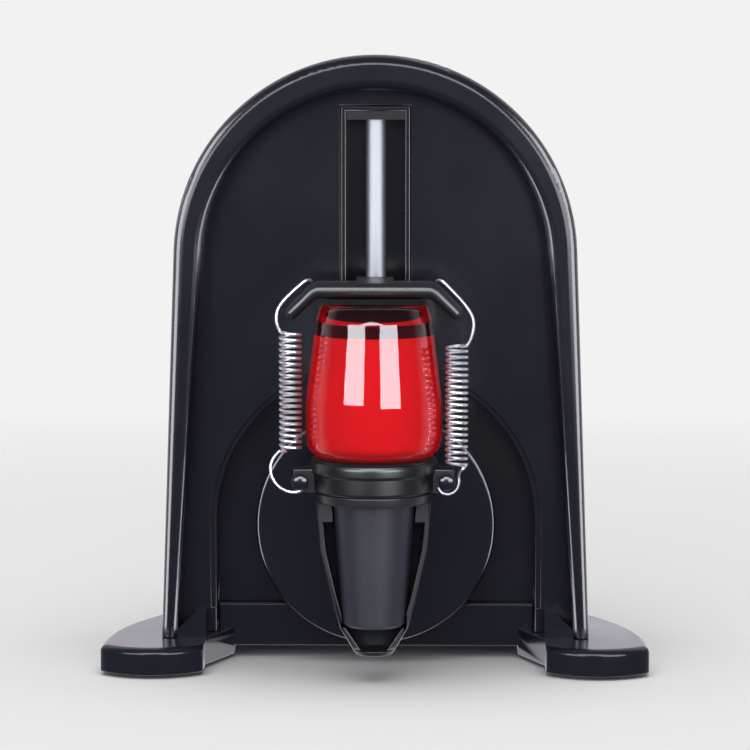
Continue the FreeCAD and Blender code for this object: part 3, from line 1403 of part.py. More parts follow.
def make_yoke():
    """Cranked bar over the bottle, its guide tab behind the bottle and the pad under it."""
    bottom, top = s.yoke_bottom, s.yoke_top
    half, drop = s.yoke_half, s.yoke_drop
    slant = s.yoke_arm_thickness
    arm_end = half + drop - slant
    knee = arm_end - (bottom - (top - drop - slant))
    right = [(knee, bottom), (arm_end, top - drop - slant), (half + drop, top - drop), (half, top)]
    left = [(-x, z) for x, z in reversed(right)]
    bar = upright_plate("yoke_bar", right + left, s.yoke_front_depth, s.yoke_back_depth)
    tab_back = s.spine_depth - s.slide_gap
    tab_front = tab_back - s.yoke_tab_thickness + s.slide_gap
    tab = box("yoke_tab", (-s.yoke_tab_half, s.yoke_tab_half), (at_depth(tab_front), at_depth(tab_back)),
              (s.yoke_tab_bottom, top))
    bridge = box("yoke_bridge", (-s.yoke_tab_half, s.yoke_tab_half),
                 (at_depth(s.yoke_back_depth - s.past), at_depth(tab_back)),
                 (top - s.yoke_bridge_thickness, top))
    holes = [cylinder(f"yoke_hole_{side + 2}", s.yoke_hole_radius,
                      s.yoke_back_depth - s.yoke_front_depth + s.past * 2, s.hook_x * side,
                      at_depth(s.yoke_front_depth - s.past), s.hook_height) for side in (-1, 1)]
    node(cut("yoke", fuse("yoke_solid", bar, bridge, tab), *holes))
    pad_half = s.glass_end_radius - s.yoke_pad_inset * 2
    node(box("yoke_pad", (-pad_half, pad_half), (at_depth(s.yoke_front_depth + s.yoke_pad_inset),
                                                at_depth(s.yoke_back_depth - s.yoke_pad_inset)),
             (bottom - s.yoke_pad_thickness, bottom)))


def make_slider():
    """Block on the guide rod with two bushes and the pin that faces the spine's pivot hole."""
    rod_y = at_depth(s.rod_depth)
    bottom, top = s.slider_bottom, s.slider_bottom + s.slider_height
    bush_outer = s.rod_radius + s.bush_wall
    block = box("slider_blank", (-s.slider_half, s.slider_half),
                (at_depth(s.slider_front_depth), at_depth(s.slider_back_depth)), (bottom, top))
    bore = cylinder("slider_bore", bush_outer + s.fit_gap, s.slider_height * 2, 0, rod_y,
                    bottom - s.past, ALONG_Z)
    pin_end = s.rod_depth - bush_outer - s.seat_gap
    pin_hole = cylinder("slider_pin_hole", s.pivot_radius + s.fit_gap, pin_end - s.slider_front_depth,
                        0, at_depth(s.slider_front_depth), s.pivot_height)
    node(cut("slider_block", block, bore, pin_hole))
    bushes = [turned(f"bush_{number}", tube_profile(s.rod_radius + s.fit_gap, bush_outer, s.bush_length),
                     0, rod_y, z, ALONG_Z)
              for number, z in enumerate((bottom, top - s.bush_length), start=1)]
    node(group("slider_bushes", bushes))
    pin_front = s.spine_depth + s.spine_thickness + s.slide_gap
    node(cylinder("pivot_pin", s.pivot_radius, pin_end - pin_front - s.fit_gap, 0, at_depth(pin_front),
                  s.pivot_height))


# ---------------------------------------------------------------- bottle


def glass_profile(grow):
    """Outside of the upside-down bottle: shoulder below, belly, and a narrower base on top."""
    top = s.glass_top
    low = s.glass_bottom - grow
    belly = s.glass_radius + grow
    return [(0, low), (s.neck_radius + s.glass_wall, low),
            (s.glass_shoulder_radius + grow, low + s.glass_shoulder),
            (belly, s.glass_belly_height - s.glass_belly_half),
            (belly, s.glass_belly_height + s.glass_belly_half),
            (s.glass_heel_radius + grow, top - s.glass_heel), (s.glass_end_radius + grow, top), (0, top)]


def make_bottle():
    """Glass, lacquer inside it, and the long cap that points down into the cup."""
    axis_y = at_depth(s.bottle_depth)
    top = s.glass_top
    wall = s.glass_wall
    neck_bore = s.neck_radius - wall
    cap_top = s.glass_bottom - s.slide_gap
    cap_inner = s.neck_radius + s.seat_gap
    body = turned("glass_body", glass_profile(0), 0, axis_y, 0, ALONG_Z)
    neck = cylinder("glass_neck", s.neck_radius, s.glass_bottom - s.neck_bottom + s.past, 0, axis_y,
                    s.neck_bottom, ALONG_Z)
    shoulder = (s.glass_shoulder_radius - wall, s.glass_bottom + s.glass_shoulder + wall)
    belly_low = s.glass_belly_height - s.glass_belly_half
    belly_high = s.glass_belly_height + s.glass_belly_half
    belly = s.glass_radius - wall
    floor = top - s.glass_floor
    floor_radius = s.glass_heel_radius - wall
    mouth = s.neck_bottom - s.past
    cavity = [(0, mouth), (neck_bore, mouth), (neck_bore, s.glass_bottom + wall), shoulder,
              (belly, belly_low), (belly, belly_high), (floor_radius, floor), (0, floor)]
    hollow = turned("glass_hollow", cavity, 0, axis_y, 0, ALONG_Z)
    node(cut("bottle_glass", fuse("glass_solid", body, neck), hollow))

    gap = s.fit_gap
    level = s.lacquer_level
    level_radius = belly - (belly - floor_radius) * (level - belly_high) / (floor - belly_high)
    low = s.neck_bottom + gap
    lacquer = [(0, low), (neck_bore - gap, low), (neck_bore - gap, s.glass_bottom + wall + gap),
               (shoulder[0] - gap, shoulder[1] + gap), (belly - gap, belly_low), (belly - gap, belly_high),
               (level_radius - gap * 2, level), (0, level)]
    node(turned("bottle_lacquer", lacquer, 0, axis_y, 0, ALONG_Z))

    cap_wall_top = s.cap_top_radius - s.cap_draft
    cap = [(0, s.cap_end), (s.cap_end_radius - s.cap_edge, s.cap_end),
           (s.cap_end_radius, s.cap_end + s.cap_edge), (cap_wall_top, s.neck_bottom),
           (cap_wall_top, cap_top), (cap_inner, cap_top),
           (cap_inner, s.neck_bottom - s.slide_gap), (0, s.neck_bottom - s.slide_gap)]
    node(turned("bottle_cap", cap, 0, axis_y, 0, ALONG_Z))


# ---------------------------------------------------------------- electrics and cover screws


def make_button():
    """Push button in its bezel with the switch behind it."""
    back = at_depth(s.cover_back)
    z = s.button_height
    hole = s.button_radius + s.slide_gap
    rim = s.button_radius + s.bezel_width - s.seat_gap
    flange = rim + s.bezel_flange
    inside = s.cover_wall + s.button_edge
    profile = [(hole, -inside), (rim, -inside), (rim, 0), (flange, 0),
               (flange - s.button_edge, s.bezel_proud), (hole, s.bezel_proud)]
    node(turned("button_bezel", profile, 0, back + s.fit_gap, z))
    travel = s.button_travel
    radius = s.button_radius
    plunger = -s.cover_wall - travel - s.plunger_length
    flange_front = -inside - s.slide_gap
    flange_back = flange_front - s.button_flange
    wide = radius + s.button_flange
    button = [(0, plunger), (s.plunger_radius, plunger), (s.plunger_radius, flange_back),
              (wide, flange_back), (wide, flange_front), (radius, flange_front),
              (radius, s.button_proud - s.button_edge), (radius - s.button_edge, s.button_proud),
              (0, s.button_proud)]
    node(turned("power_button", button, 0, back, z))
    half = s.switch_size / 2
    switch_face = back + plunger - travel - s.slide_gap
    board_back = at_depth(s.board_depth + s.board_thickness)
    body = box("switch_case", (-half, half), (board_back, switch_face - s.past), (z - half, z + half))
    stem = cylinder("switch_stem", s.plunger_radius, switch_face - board_back - s.past, 0,
                    board_back + s.past, z)
    node(fuse("switch_body", body, stem))


def make_jack():
    """Low-voltage power socket with its centre pin."""
    back = at_depth(s.cover_back)
    length = s.jack_length
    flange, thickness = s.jack_radius + s.jack_flange, s.jack_flange_thickness
    floor = s.jack_floor - length
    profile = [(0, -length), (s.jack_radius, -length), (s.jack_radius, -thickness), (flange, -thickness),
               (flange, 0), (s.jack_bore, 0), (s.jack_bore, floor), (0, floor)]
    front = back + thickness + s.fit_gap
    node(turned("power_jack", profile, s.jack_x, front, s.jack_height))
    node(cylinder("power_jack_pin", s.jack_pin_radius, -floor - s.jack_pin_spare, s.jack_x,
                  front + floor + s.fit_gap, s.jack_height))


def board_corners():
    """X and height of the board's four posts."""
    reach = s.board_post_radius + 0.4
    return [(x, z) for x in (s.board_left + reach, s.board_right - reach)
            for z in (s.board_bottom + reach, s.board_top - reach)]


def board_supports():
    """Posts inside the rear cover that carry the board, and their screw bores."""
    board_back = s.board_depth + s.board_thickness
    posts = [cylinder(f"board_post_{number}", s.board_post_radius,
                      s.cover_back - s.cover_wall / 2 - board_back, x, at_depth(board_back), z)
             for number, (x, z) in enumerate(board_corners(), start=1)]
    bores = [cylinder(f"board_bore_{number}", s.screw_radius - s.fit_gap,
                      s.cover_back - s.cover_wall * 2 - board_back, x, at_depth(board_back - 1), z)
             for number, (x, z) in enumerate(board_corners(), start=1)]
    return posts, bores


def make_board():
    """Circuit board behind the button, the parts soldered to it and its screws."""
    front, back = at_depth(s.board_depth), at_depth(s.board_depth + s.board_thickness)
    blank = box("board_blank", (s.board_left, s.board_right), (front, back),
                (s.board_bottom, s.board_top))
    holes = [cylinder(f"board_hole_{number}", s.screw_radius + s.seat_gap, s.board_thickness * 3, x,
                      front - 1, z)
             for number, (x, z) in enumerate(board_corners(), start=1)]
    node(cut("circuit_board", blank, *holes))
    middle = (s.board_bottom + s.board_top) / 2
    left = s.board_left + s.part_spacing
    capacitor = cylinder("capacitor", s.capacitor_radius, s.capacitor_height, left + s.capacitor_radius,
                         front - s.fit_gap, middle, FORWARD)
    chip_left = left + s.capacitor_radius + s.part_spacing
    chip = box("regulator", (chip_left, chip_left + s.chip_side), (front - s.chip_height, front),
               (middle - s.chip_side / 2, middle + s.chip_side / 2))
    header_left = chip_left + s.part_spacing + s.capacitor_radius
    header_top = middle - s.header_drop
    plug = box("wire_header", (header_left, header_left + s.header_length),
               (front - s.header_height, front), (header_top - s.header_width, header_top))
    node(group("board_parts", [capacitor, chip, plug]))
    node(group("board_screws", [screw(f"board_screw_{number}", x, front, z, s.board_screw_length,
                                      FORWARD)
                                for number, (x, z) in enumerate(board_corners(), start=1)]))


def make_cover_screws():
    """Screws that pull the rear cover onto the front shell's posts."""
    seat = at_depth(s.post_end + s.slide_gap + s.shell_wall)
    node(group("cover_screws", [screw(f"cover_screw_{number}", x, seat, z,
                                      s.shell_wall + s.cover_screw_bite)
                                for number, (x, z) in enumerate(post_places(), start=1)]))


def write_parts():
    """Check every object and write each node to its file."""
    doc.recompute()
    for thing in doc.Objects:
        if {"Invalid", "Error"} & set(thing.State):
            raise RuntimeError(f"{thing.Label} failed: {thing.State}")
    os.makedirs("parts", exist_ok=True)
    for thing in NODES:
        shape = thing.Shape
        if shape.isNull() or not shape.isValid() or not shape.Solids:
            raise RuntimeError(f"{thing.Label} has no valid solid")
        if not all(solid.isValid() and solid.Volume > 0 for solid in shape.Solids):
            raise RuntimeError(f"{thing.Label} has a solid that isn't whole")
        shape.exportStep(f"parts/{thing.Label}.step")
        print(f"{thing.Label}: {len(shape.Solids)} solids, {shape.Volume:.1f} mm3")


make_base()
make_front_shell()
make_rear_cover()
make_channel()
make_bearing_housing()
make_crank()
make_belt()
make_motor()
make_spine()
make_ring()
make_cup()
make_springs()
make_yoke()
make_slider()
make_bottle()
make_button()
make_jack()
make_board()
make_cover_screws()
write_parts()
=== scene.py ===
import math

import bmesh
import bpy
from bpy.props import FloatProperty, FloatVectorProperty, IntProperty, PointerProperty
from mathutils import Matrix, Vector
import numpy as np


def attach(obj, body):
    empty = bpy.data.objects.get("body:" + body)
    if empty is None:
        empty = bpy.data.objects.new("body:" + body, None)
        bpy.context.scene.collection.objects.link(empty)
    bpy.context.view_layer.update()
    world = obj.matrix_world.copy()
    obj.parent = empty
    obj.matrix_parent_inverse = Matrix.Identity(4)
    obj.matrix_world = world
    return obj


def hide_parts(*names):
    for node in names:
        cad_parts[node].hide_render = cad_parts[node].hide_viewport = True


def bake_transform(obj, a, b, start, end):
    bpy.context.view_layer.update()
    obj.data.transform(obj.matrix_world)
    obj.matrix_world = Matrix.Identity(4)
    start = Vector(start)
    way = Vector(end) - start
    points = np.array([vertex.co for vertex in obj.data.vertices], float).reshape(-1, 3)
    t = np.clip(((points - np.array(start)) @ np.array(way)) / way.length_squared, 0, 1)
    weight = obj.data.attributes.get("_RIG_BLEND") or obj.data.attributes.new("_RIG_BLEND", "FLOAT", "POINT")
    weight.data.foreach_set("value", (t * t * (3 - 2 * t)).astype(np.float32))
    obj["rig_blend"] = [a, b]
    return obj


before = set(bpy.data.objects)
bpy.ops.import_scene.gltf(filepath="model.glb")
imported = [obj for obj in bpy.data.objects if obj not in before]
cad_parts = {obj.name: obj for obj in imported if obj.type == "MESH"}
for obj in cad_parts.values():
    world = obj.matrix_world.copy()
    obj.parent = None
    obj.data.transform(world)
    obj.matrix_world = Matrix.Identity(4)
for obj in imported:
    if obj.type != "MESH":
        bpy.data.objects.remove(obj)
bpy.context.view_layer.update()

bl_info = {
    "name": "Nail polish shaker",
    "version": (1, 0, 0),
    "blender": (4, 5, 0),
    "location": "3D View > Sidebar > Shaker",
    "description": "Dresses a nail polish shaker: housing, carrier, springs, bottle, drive, stage",
    "category": "Object",
}

MM = 0.001

# places on the machine, in mm
FACE = -14.1  # y of the housing's front face; depths run back from it
MIDDLE = 82  # height of the machine's middle
BOTTLE_Y = -30.1  # y of the axis of the bottle and the cup
SPRING_X, SPRING_Y = 22.2, -36.6  # axis of the right spring


# ---------------- settings

def linear(hex_colour):
    """Linear red, green, blue and alpha of an sRGB hex colour."""
    channels = [int(hex_colour[i:i + 2], 16) / 255 for i in (1, 3, 5)]
    return tuple(c / 12.92 if c <= 0.04045 else ((c + 0.055) / 1.055) ** 2.4
                 for c in channels) + (1.0,)


def colour(name, description, hex_colour):
    """A colour property, given as an sRGB hex colour."""
    return FloatVectorProperty(name=name, description=description, subtype="COLOR", size=4,
                               min=0.0, max=1.0, default=linear(hex_colour))


def length(name, description, default, high=1.0):
    """A length property in metres, whose default is given in millimetres."""
    return FloatProperty(name=name, description=description, default=default * MM, min=0.0,
                         max=high, subtype="DISTANCE", unit="LENGTH", precision=5)


def camera_angle(name, description, degrees):
    """An angle property in radians, whose default is given in degrees."""
    return FloatProperty(name=name, description=description, default=math.radians(degrees),
                         subtype="ANGLE", unit="ROTATION")


def brightness(name, description, default):
    """A property for a lamp's radiance."""
    return FloatProperty(name=name, description=description, default=default, min=0.0)


class ShakerHousingSettings(bpy.types.PropertyGroup):
    shell_colour: colour("Shell colour", "Colour of the polished plastic", "#1a1d29")
    rim_round: length("Rim rounding", "Rounding of the rim's outer and inner edge", 3.0)
    edge_round: length("Edge rounding", "Rounding of the other moulded edges", 0.3)


class ShakerCarrierSettings(bpy.types.PropertyGroup):
    yoke_front: length("Bar rounding", "Rounding of the front of the bar over the bottle", 2.1)
    yoke_back: length("Bar back rounding", "Rounding of the back of the bar", 0.4)
    pin_head: length("Pin head radius", "Radius of the round heads of the spring pins", 2.3)
    edge_round: length("Edge rounding", "Rounding of the edges of the cup and the ring", 0.35)


class ShakerSpringSettings(bpy.types.PropertyGroup):
    turns: IntProperty(name="Turns", description="Turns of each spring's coil", default=20, min=3,
                       max=60)
    coil_radius: length("Coil radius", "Radius of the coil at the middle of the wire", 2.7)
    wire_radius: length("Wire radius", "Half the thickness of the wire", 0.42)
    left_foot: length("Left coil foot", "Height at which the left coil starts", 64.0)
    right_foot: length("Right coil foot", "Height at which the right coil starts", 60.4)
    reach: length("Coil length", "Length of the coil from its first turn to its last", 32.0)


class ShakerBottleSettings(bpy.types.PropertyGroup):
    lacquer_colour: colour("Lacquer colour", "Colour of the lacquer in the bottle", "#d4141a")
    # Painted shade: this colour is put above the lacquer's level, for the shade of the empty space.
    painted_shade_colour: colour("Painted shade colour", "Colour painted above it as the shade of the empty space",
                        "#330407")
    level: length("Lacquer level", "Height of the lacquer's surface in the upturned bottle", 94.5)
    # Above this height and beyond this radius the painted shade stops and the lacquer keeps its red.
    crown: length("Red ring height", "Height above which the lacquer keeps its red in a ring at the top corner", 97.85)
    corner: length("Red ring radius", "Radius beyond which it does so", 8.6)
    overlap: length("Wetting", "How far the lacquer reaches into the glass, to leave no gap", 0.1)


class ShakerStageSettings(bpy.types.PropertyGroup):
    background: colour("Background", "Colour of the background and the floor", "#f2f2f2")
    fill: brightness("Fill lamp", "Radiance of the lamp that only fills", 0.75)
    windows: brightness("Window lamps", "Radiance of the lamps seen in gloss", 15.0)
    overhead: brightness("Overhead lamp", "Radiance of the lamp above", 2.4)
    wraps: brightness("Rod lamps", "Radiance of the wide lamps for the rod", 1.45)
    cup_fill: brightness("Cup lamp", "Radiance of the lamp for the cup's inside", 22.0)
    strips: brightness("Strip lamps", "Radiance of the lamps along the sides", 11.0)
    azimuth: camera_angle("Camera azimuth", "Camera's turn to the right", 1.0)
    elevation: camera_angle("Camera elevation", "Camera's height angle", 6.1)
    distance: length("Camera distance", "Distance from the camera to the machine's middle", 800.0,
                     high=10.0)


SETTINGS = {
    "shaker_housing": ShakerHousingSettings,
    "shaker_carrier": ShakerCarrierSettings,
    "shaker_springs": ShakerSpringSettings,
    "shaker_bottle": ShakerBottleSettings,
    "shaker_stage": ShakerStageSettings,
}


# ---------------- node helpers

def add_node(tree, kind, sockets=None, **settings):
    """Add a node; a socket's entry is either a value or another node's output to link from."""
    made = tree.nodes.new(kind)
    for name, value in settings.items():
        setattr(made, name, value)
    for name, value in (sockets or {}).items():
        if isinstance(value, bpy.types.NodeSocket):
            tree.links.new(value, made.inputs[name])
        else:
            made.inputs[name].default_value = value
    return made


def new_finish(name, values):
    """A node material with its shader, whose sockets get these values, and object coordinates."""
    material = bpy.data.materials.new(name)
    material.use_nodes = True
    tree = material.node_tree
    tree.nodes.clear()
    shader = add_node(tree, "ShaderNodeBsdfPrincipled", values)
    add_node(tree, "ShaderNodeOutputMaterial", {"Surface": shader.outputs["BSDF"]})
    place = add_node(tree, "ShaderNodeTexCoord").outputs["Object"]
    return material, tree, shader, place


def patches(tree, place, size, low, high, detail=3.0):
    """Soft patches between a low and a high value, of about this size in millimetres."""
    clouds = add_node(tree, "ShaderNodeTexNoise", {
        "Vector": place, "Scale": 1.0 / (size * MM), "Detail": detail})
    return add_node(tree, "ShaderNodeMapRange", {
        "Value": clouds.outputs["Fac"], "From Min": 0.3, "From Max": 0.7,
        "To Min": low, "To Max": high}).outputs["Result"]


def relief(tree, place, size, height, detail=1.0):
    """Normal of an uneven surface, whose grain has this size and height in millimetres."""
    grain = add_node(tree, "ShaderNodeTexNoise", {
        "Vector": place, "Scale": 1.0 / (size * MM), "Detail": detail})
    return add_node(tree, "ShaderNodeBump", {
        "Height": grain.outputs["Fac"], "Strength": 1.0,
        "Distance": height * MM}).outputs["Normal"]


# ---------------- finishes

def moulded(name, tint, rough, grain, depth, smudge=0.05, gloss=0.5):
    """Injection-moulded plastic: the tool's grain as a fine bump, and handling marks in the gloss.

    grain is the grain's size and depth its height, both in millimetres. Real grain is mostly finer
    than 0.1 mm, and is drawn coarser here so that it shows.
    """
    material, tree, shader, place = new_finish(name, {
        "Base Color": tint, "IOR": 1.53, "Specular IOR Level": gloss})
    marks = patches(tree, place, 22.0, rough - smudge, rough + smudge)
    tree.links.new(marks, shader.inputs["Roughness"])
    tree.links.new(relief(tree, place, grain, depth), shader.inputs["Normal"])
    return material


def metal(name, tint, rough, line, depth, lines=(1.0, 1.0, 1.0), stain=0.06):
    """Bare or plated metal: tool lines as a bump, and stains in the gloss.

    tint is a hex colour. line is the lines' spacing and depth their height, both in millimetres,
    drawn coarser than real tool lines so that they show. The pattern is drawn out along the axes
    where lines is under 1.
    """
    material, tree, shader, place = new_finish(name, {"Base Color": linear(tint), "Metallic": 1.0})
    stains = patches(tree, place, 6.0, rough - stain, rough + stain)
    tree.links.new(stains, shader.inputs["Roughness"])
    drawn_out = add_node(tree, "ShaderNodeMapping", {"Vector": place, "Scale": lines})
    grooves = relief(tree, drawn_out.outputs["Vector"], line, depth, detail=2.0)
    tree.links.new(grooves, shader.inputs["Normal"])
    return material


def polished_abs():
    """Black ABS from a polished mould: deep black with clear, slightly wavy reflections."""
    tint = tuple(bpy.context.scene.shaker_housing.shell_colour)
    return moulded("black_abs_polished", tint, 0.20, 1.6, 0.004, smudge=0.02)


def spark_eroded_abs():
    """Black ABS from a spark-eroded mould: fine satin grain that greys the black a little."""
    return moulded("black_abs_spark_eroded", linear("#16171b"), 0.33, 0.45, 0.008, smudge=0.04)


def glass_filled_nylon():
    """Dark glass-filled nylon: dull, faintly mottled, a little coarser than ABS."""
    return moulded("dark_glass_filled_nylon", linear("#1b1c1f"), 0.52, 0.7, 0.02, gloss=0.3)


def moulded_rubber():
    """Moulded black rubber: matt, with a fine even grain and dusty patches."""
    return moulded("black_moulded_rubber", linear("#141415"), 0.72, 0.5, 0.03, smudge=0.08,
                   gloss=0.2)


def soft_touch_pp():
    """Bottle cap in soft-touch coated polypropylene: matt charcoal with a broad soft sheen."""
    return moulded("charcoal_soft_touch_polypropylene", linear("#29293a"), 0.46, 0.35, 0.006,
                   smudge=0.03)


def sintered_ferrite():
    """Sintered ferrite: dark grey ceramic with a dry, even surface."""
    return moulded("sintered_ferrite", linear("#2b2b2d"), 0.6, 0.4, 0.02)


def chloroprene_belt():
    """Drive belt of ground chloroprene rubber: black, matt, with a fine ground nap."""
    return moulded("ground_chloroprene_rubber", linear("#151515"), 0.66, 0.35, 0.03)


def solder_mask():
    """Glass-epoxy board under green solder mask: glossy over a faint cloth weave."""
    return moulded("green_solder_mask_board", linear("#1d5a38"), 0.28, 0.6, 0.01)


def ground_steel():
    """Centreless-ground steel: bright and even, with fine grinding rings round the bar."""
    return metal("ground_steel", "#d6d9df", 0.52, 0.3, 0.003, (0.15, 0.15, 1.0), 0.03)


def machined_steel():
    """Turned or stamped plain steel: grey, satin, with tool marks."""
    return metal("machined_steel", "#b4b6ba", 0.30, 0.5, 0.006)


def drawn_wire():
    """Hard-drawn nickel-plated spring wire: bright, with faint marks of the die."""
    return metal("nickel_plated_spring_wire", "#e2e2e6", 0.34, 0.25, 0.003)


def zinc_plate():
    """Zinc-plated screws: cool grey with a slightly cloudy passivated surface."""
    return metal("zinc_plated_steel", "#aeb3bb", 0.34, 0.6, 0.006, stain=0.1)


def turned_brass():
    """Turned brass: warm yellow with a satin tool finish."""
    return metal("turned_brass", "#c9a35a", 0.28, 0.5, 0.005)


def sintered_bronze():
    """Oil-filled sintered bronze: dull brown-gold with fine pores."""
    return metal("sintered_bronze", "#9a7447", 0.46, 0.35, 0.02)


def enamelled_copper():
    """Enamelled copper winding wire: reddish, laid in rows that show as fine ribs."""
    return metal("enamelled_copper_windings", "#b0603a", 0.32, 0.5, 0.08, (0.2, 1.0, 1.0))


def bottle_glass():
    """Pressed soda-lime glass, fire-polished: clear with slow ripples from the mould."""
    material, tree, shader, place = new_finish("pressed_soda_lime_glass", {
        "Base Color": linear("#fbfdfc"), "IOR": 1.52, "Transmission Weight": 1.0})
    tree.links.new(patches(tree, place, 12.0, 0.0, 0.03, detail=2.0), shader.inputs["Roughness"])
    tree.links.new(relief(tree, place, 9.0, 0.02), shader.inputs["Normal"])
    return material


def red_lacquer():
    """Pigmented nitrocellulose lacquer: dense saturated red, in swirls of two near shades.

    Above its level a painted shade stands for the empty space; a ring at the top stays red.
    """
    look = bpy.context.scene.shaker_bottle
    material, tree, shader, place = new_finish("pigmented_red_lacquer", {
        "IOR": 1.48, "Specular IOR Level": 0.0, "Roughness": 0.6})
    tint = tuple(look.lacquer_colour)
    darker = tuple(c * 0.86 for c in tint[:3]) + (1.0,)
    swirled = add_node(tree, "ShaderNodeMix", {
        "Factor": patches(tree, place, 14.0, 0.0, 1.0), "A": tint, "B": darker}, data_type="RGBA")

    # Painted shade: above the level the colour turns dark, for the shade of the empty space.
    height = add_node(tree, "ShaderNodeSeparateXYZ", {"Vector": place}).outputs["Z"]
    over_level = add_node(tree, "ShaderNodeMapRange", {
        "Value": height, "From Min": look.level, "From Max": look.level + 0.15 * MM})
    under_crown = add_node(tree, "ShaderNodeMapRange", {
        "Value": height, "From Min": look.crown - 0.1 * MM, "From Max": look.crown,
        "To Min": 1.0, "To Max": 0.0})
    axis = add_node(tree, "ShaderNodeMapping", {
        "Vector": place, "Location": (0, -BOTTLE_Y * MM, 0), "Scale": (1, 1, 0)})
    radius = add_node(tree, "ShaderNodeVectorMath", {0: axis.outputs["Vector"]},
                      operation="LENGTH")
    inside_corner = add_node(tree, "ShaderNodeMapRange", {
        "Value": radius.outputs["Value"], "From Min": look.corner,
        "From Max": look.corner + 0.3 * MM, "To Min": 1.0, "To Max": 0.0})
    outside_red_ring = add_node(tree, "ShaderNodeMath", {
        0: under_crown.outputs["Result"], 1: inside_corner.outputs["Result"]},
        operation="MAXIMUM")
    painted_shade = add_node(tree, "ShaderNodeMath", {
        0: over_level.outputs["Result"], 1: outside_red_ring.outputs[0]}, operation="MULTIPLY")
    # The painted shade covers all above the level but a ring at the top corner, which stays red.
    both = add_node(tree, "ShaderNodeMix", {
        "Factor": painted_shade.outputs[0], "A": swirled.outputs["Result"], "B": look.painted_shade_colour},
        data_type="RGBA")
    tree.links.new(both.outputs["Result"], shader.inputs["Base Color"])
    return material


# finish of each of the record's slots
FINISHES = {
    "black_gloss": polished_abs,
    "black_satin": spark_eroded_abs,
    "dark_nylon": glass_filled_nylon,
    "rubber": moulded_rubber,
    "steel_bright": ground_steel,
    "steel_plain": machined_steel,
    "zinc": zinc_plate,
    "spring_wire": drawn_wire,
    "belt": chloroprene_belt,
    "magnet": sintered_ferrite,
    "copper": enamelled_copper,
    "brass": turned_brass,
    "bronze": sintered_bronze,
    "board": solder_mask,
    "bottle_glass": bottle_glass,
    "lacquer": red_lacquer,
    "cap_black": soft_touch_pp,
}
made_finishes = {}


def finish(slot):
    """The material for one of the record's slots, made once."""
    if slot not in made_finishes:
        made_finishes[slot] = FINISHES[slot]()
    return made_finishes[slot]


def slot_of(node_name):
    """The record's slot of a CAD node that isn't dressed yet, which its material is named for."""
    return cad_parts[node_name].data.materials[0].name.split(".")[0]


def dress(*node_names):
    """Give each CAD node named its finish."""
    for name in node_names:
        material = finish(slot_of(name))
        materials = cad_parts[name].data.materials
        for index in range(len(materials)):
            materials[index] = material


# ---------------- mesh helpers

WELD = 0.002 * MM  # corners this near each other are one
FLAT = math.radians(0.05)  # faces with less of a turn between them are one flat face
SHARP = math.radians(28)  # an edge with less of a turn belongs to a curved surface
HALF_SIDE = 0.49  # most of a side that the rounding of one corner takes


def new_object(name, data):
    """Object for a mesh, lamp or camera, linked to the scene."""
    made = bpy.data.objects.new(name, data)
    bpy.context.scene.collection.objects.link(made)
    return made


def object_from(name, sheet):
    """Object with the plain smooth-shaded mesh of a bmesh, which is freed."""
    for face in sheet.faces:
        face.smooth = True
    mesh = bpy.data.meshes.new(name)
    sheet.to_mesh(mesh)
    sheet.free()
    if "custom_normal" in mesh.attributes:
        mesh.attributes.remove(mesh.attributes["custom_normal"])
    return new_object(name, mesh)


def add_piece(name, sheet, node_name, body=None, slot=None):
    """Make a bmesh the piece that stands for a CAD node and rides on the body named, if any."""
    slot = slot or slot_of(node_name)
    piece = object_from(name, sheet)
    piece.data.materials.append(finish(slot))
    if body:
        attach(piece, body)
    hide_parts(node_name)
    return piece


def merged(node_name):
    """Copy of a CAD node's mesh with its triangles joined and its flat faces whole."""
    sheet = bmesh.new()
    sheet.from_mesh(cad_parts[node_name].data)
    bmesh.ops.remove_doubles(sheet, verts=sheet.verts, dist=WELD)
    bmesh.ops.dissolve_limit(sheet, angle_limit=FLAT, verts=sheet.verts, edges=sheet.edges)
    return sheet


def weigh_edges(sheet, weight=lambda edge: 0.0):
    """Set bevel weights: weight(edge) gives each sharp outward edge its share of the width.

    An edge with a share of 0 stays sharp, and one with None belongs to a smooth surface.
    """
    layers = sheet.edges.layers.float
    layer = layers.get("bevel_weight_edge") or layers.new("bevel_weight_edge")
    for edge in sheet.edges:
        angle = edge.calc_face_angle_signed(0.0)
        if abs(angle) < SHARP:
            continue
        share = weight(edge)
        if share is None:
            continue
        if angle > 0:
            edge[layer] = share
        if not edge[layer]:
            edge.smooth = False


def soften(piece, width):
    """Round the weighted edges and keep the flat faces flat in the shading."""
    bevel = piece.modifiers.new("rounded_edges", "BEVEL")
    bevel.limit_method = "WEIGHT"
    bevel.width = width
    bevel.segments = 3
    bevel.use_clamp_overlap = False
    bevel.miter_outer = "MITER_ARC"
    shading = piece.modifiers.new("flat_faces", "WEIGHTED_NORMAL")
    shading.keep_sharp = True
    shading.mode = "FACE_AREA_WITH_ANGLE"


def softened(node_name, name, body, width, weight=lambda edge: 1.0, reshape=None, slot=None,
             heights=()):
    """Stand-in for a CAD node with its outward edges rounded.

    reshape moves its points, which are first added where it crosses the heights in mm.
    """
    sheet = merged(node_name)
    for height in heights:
        whole = list(sheet.verts) + list(sheet.edges) + list(sheet.faces)
        bmesh.ops.bisect_plane(sheet, geom=whole, dist=1e-7, plane_co=(0, 0, height * MM),
                               plane_no=(0, 0, 1))
    if reshape:
        for vertex in sheet.verts:
            vertex.co = reshape(vertex.co)
    weigh_edges(sheet, weight)
    piece = add_piece(name, sheet, node_name, body, slot)
    soften(piece, width)


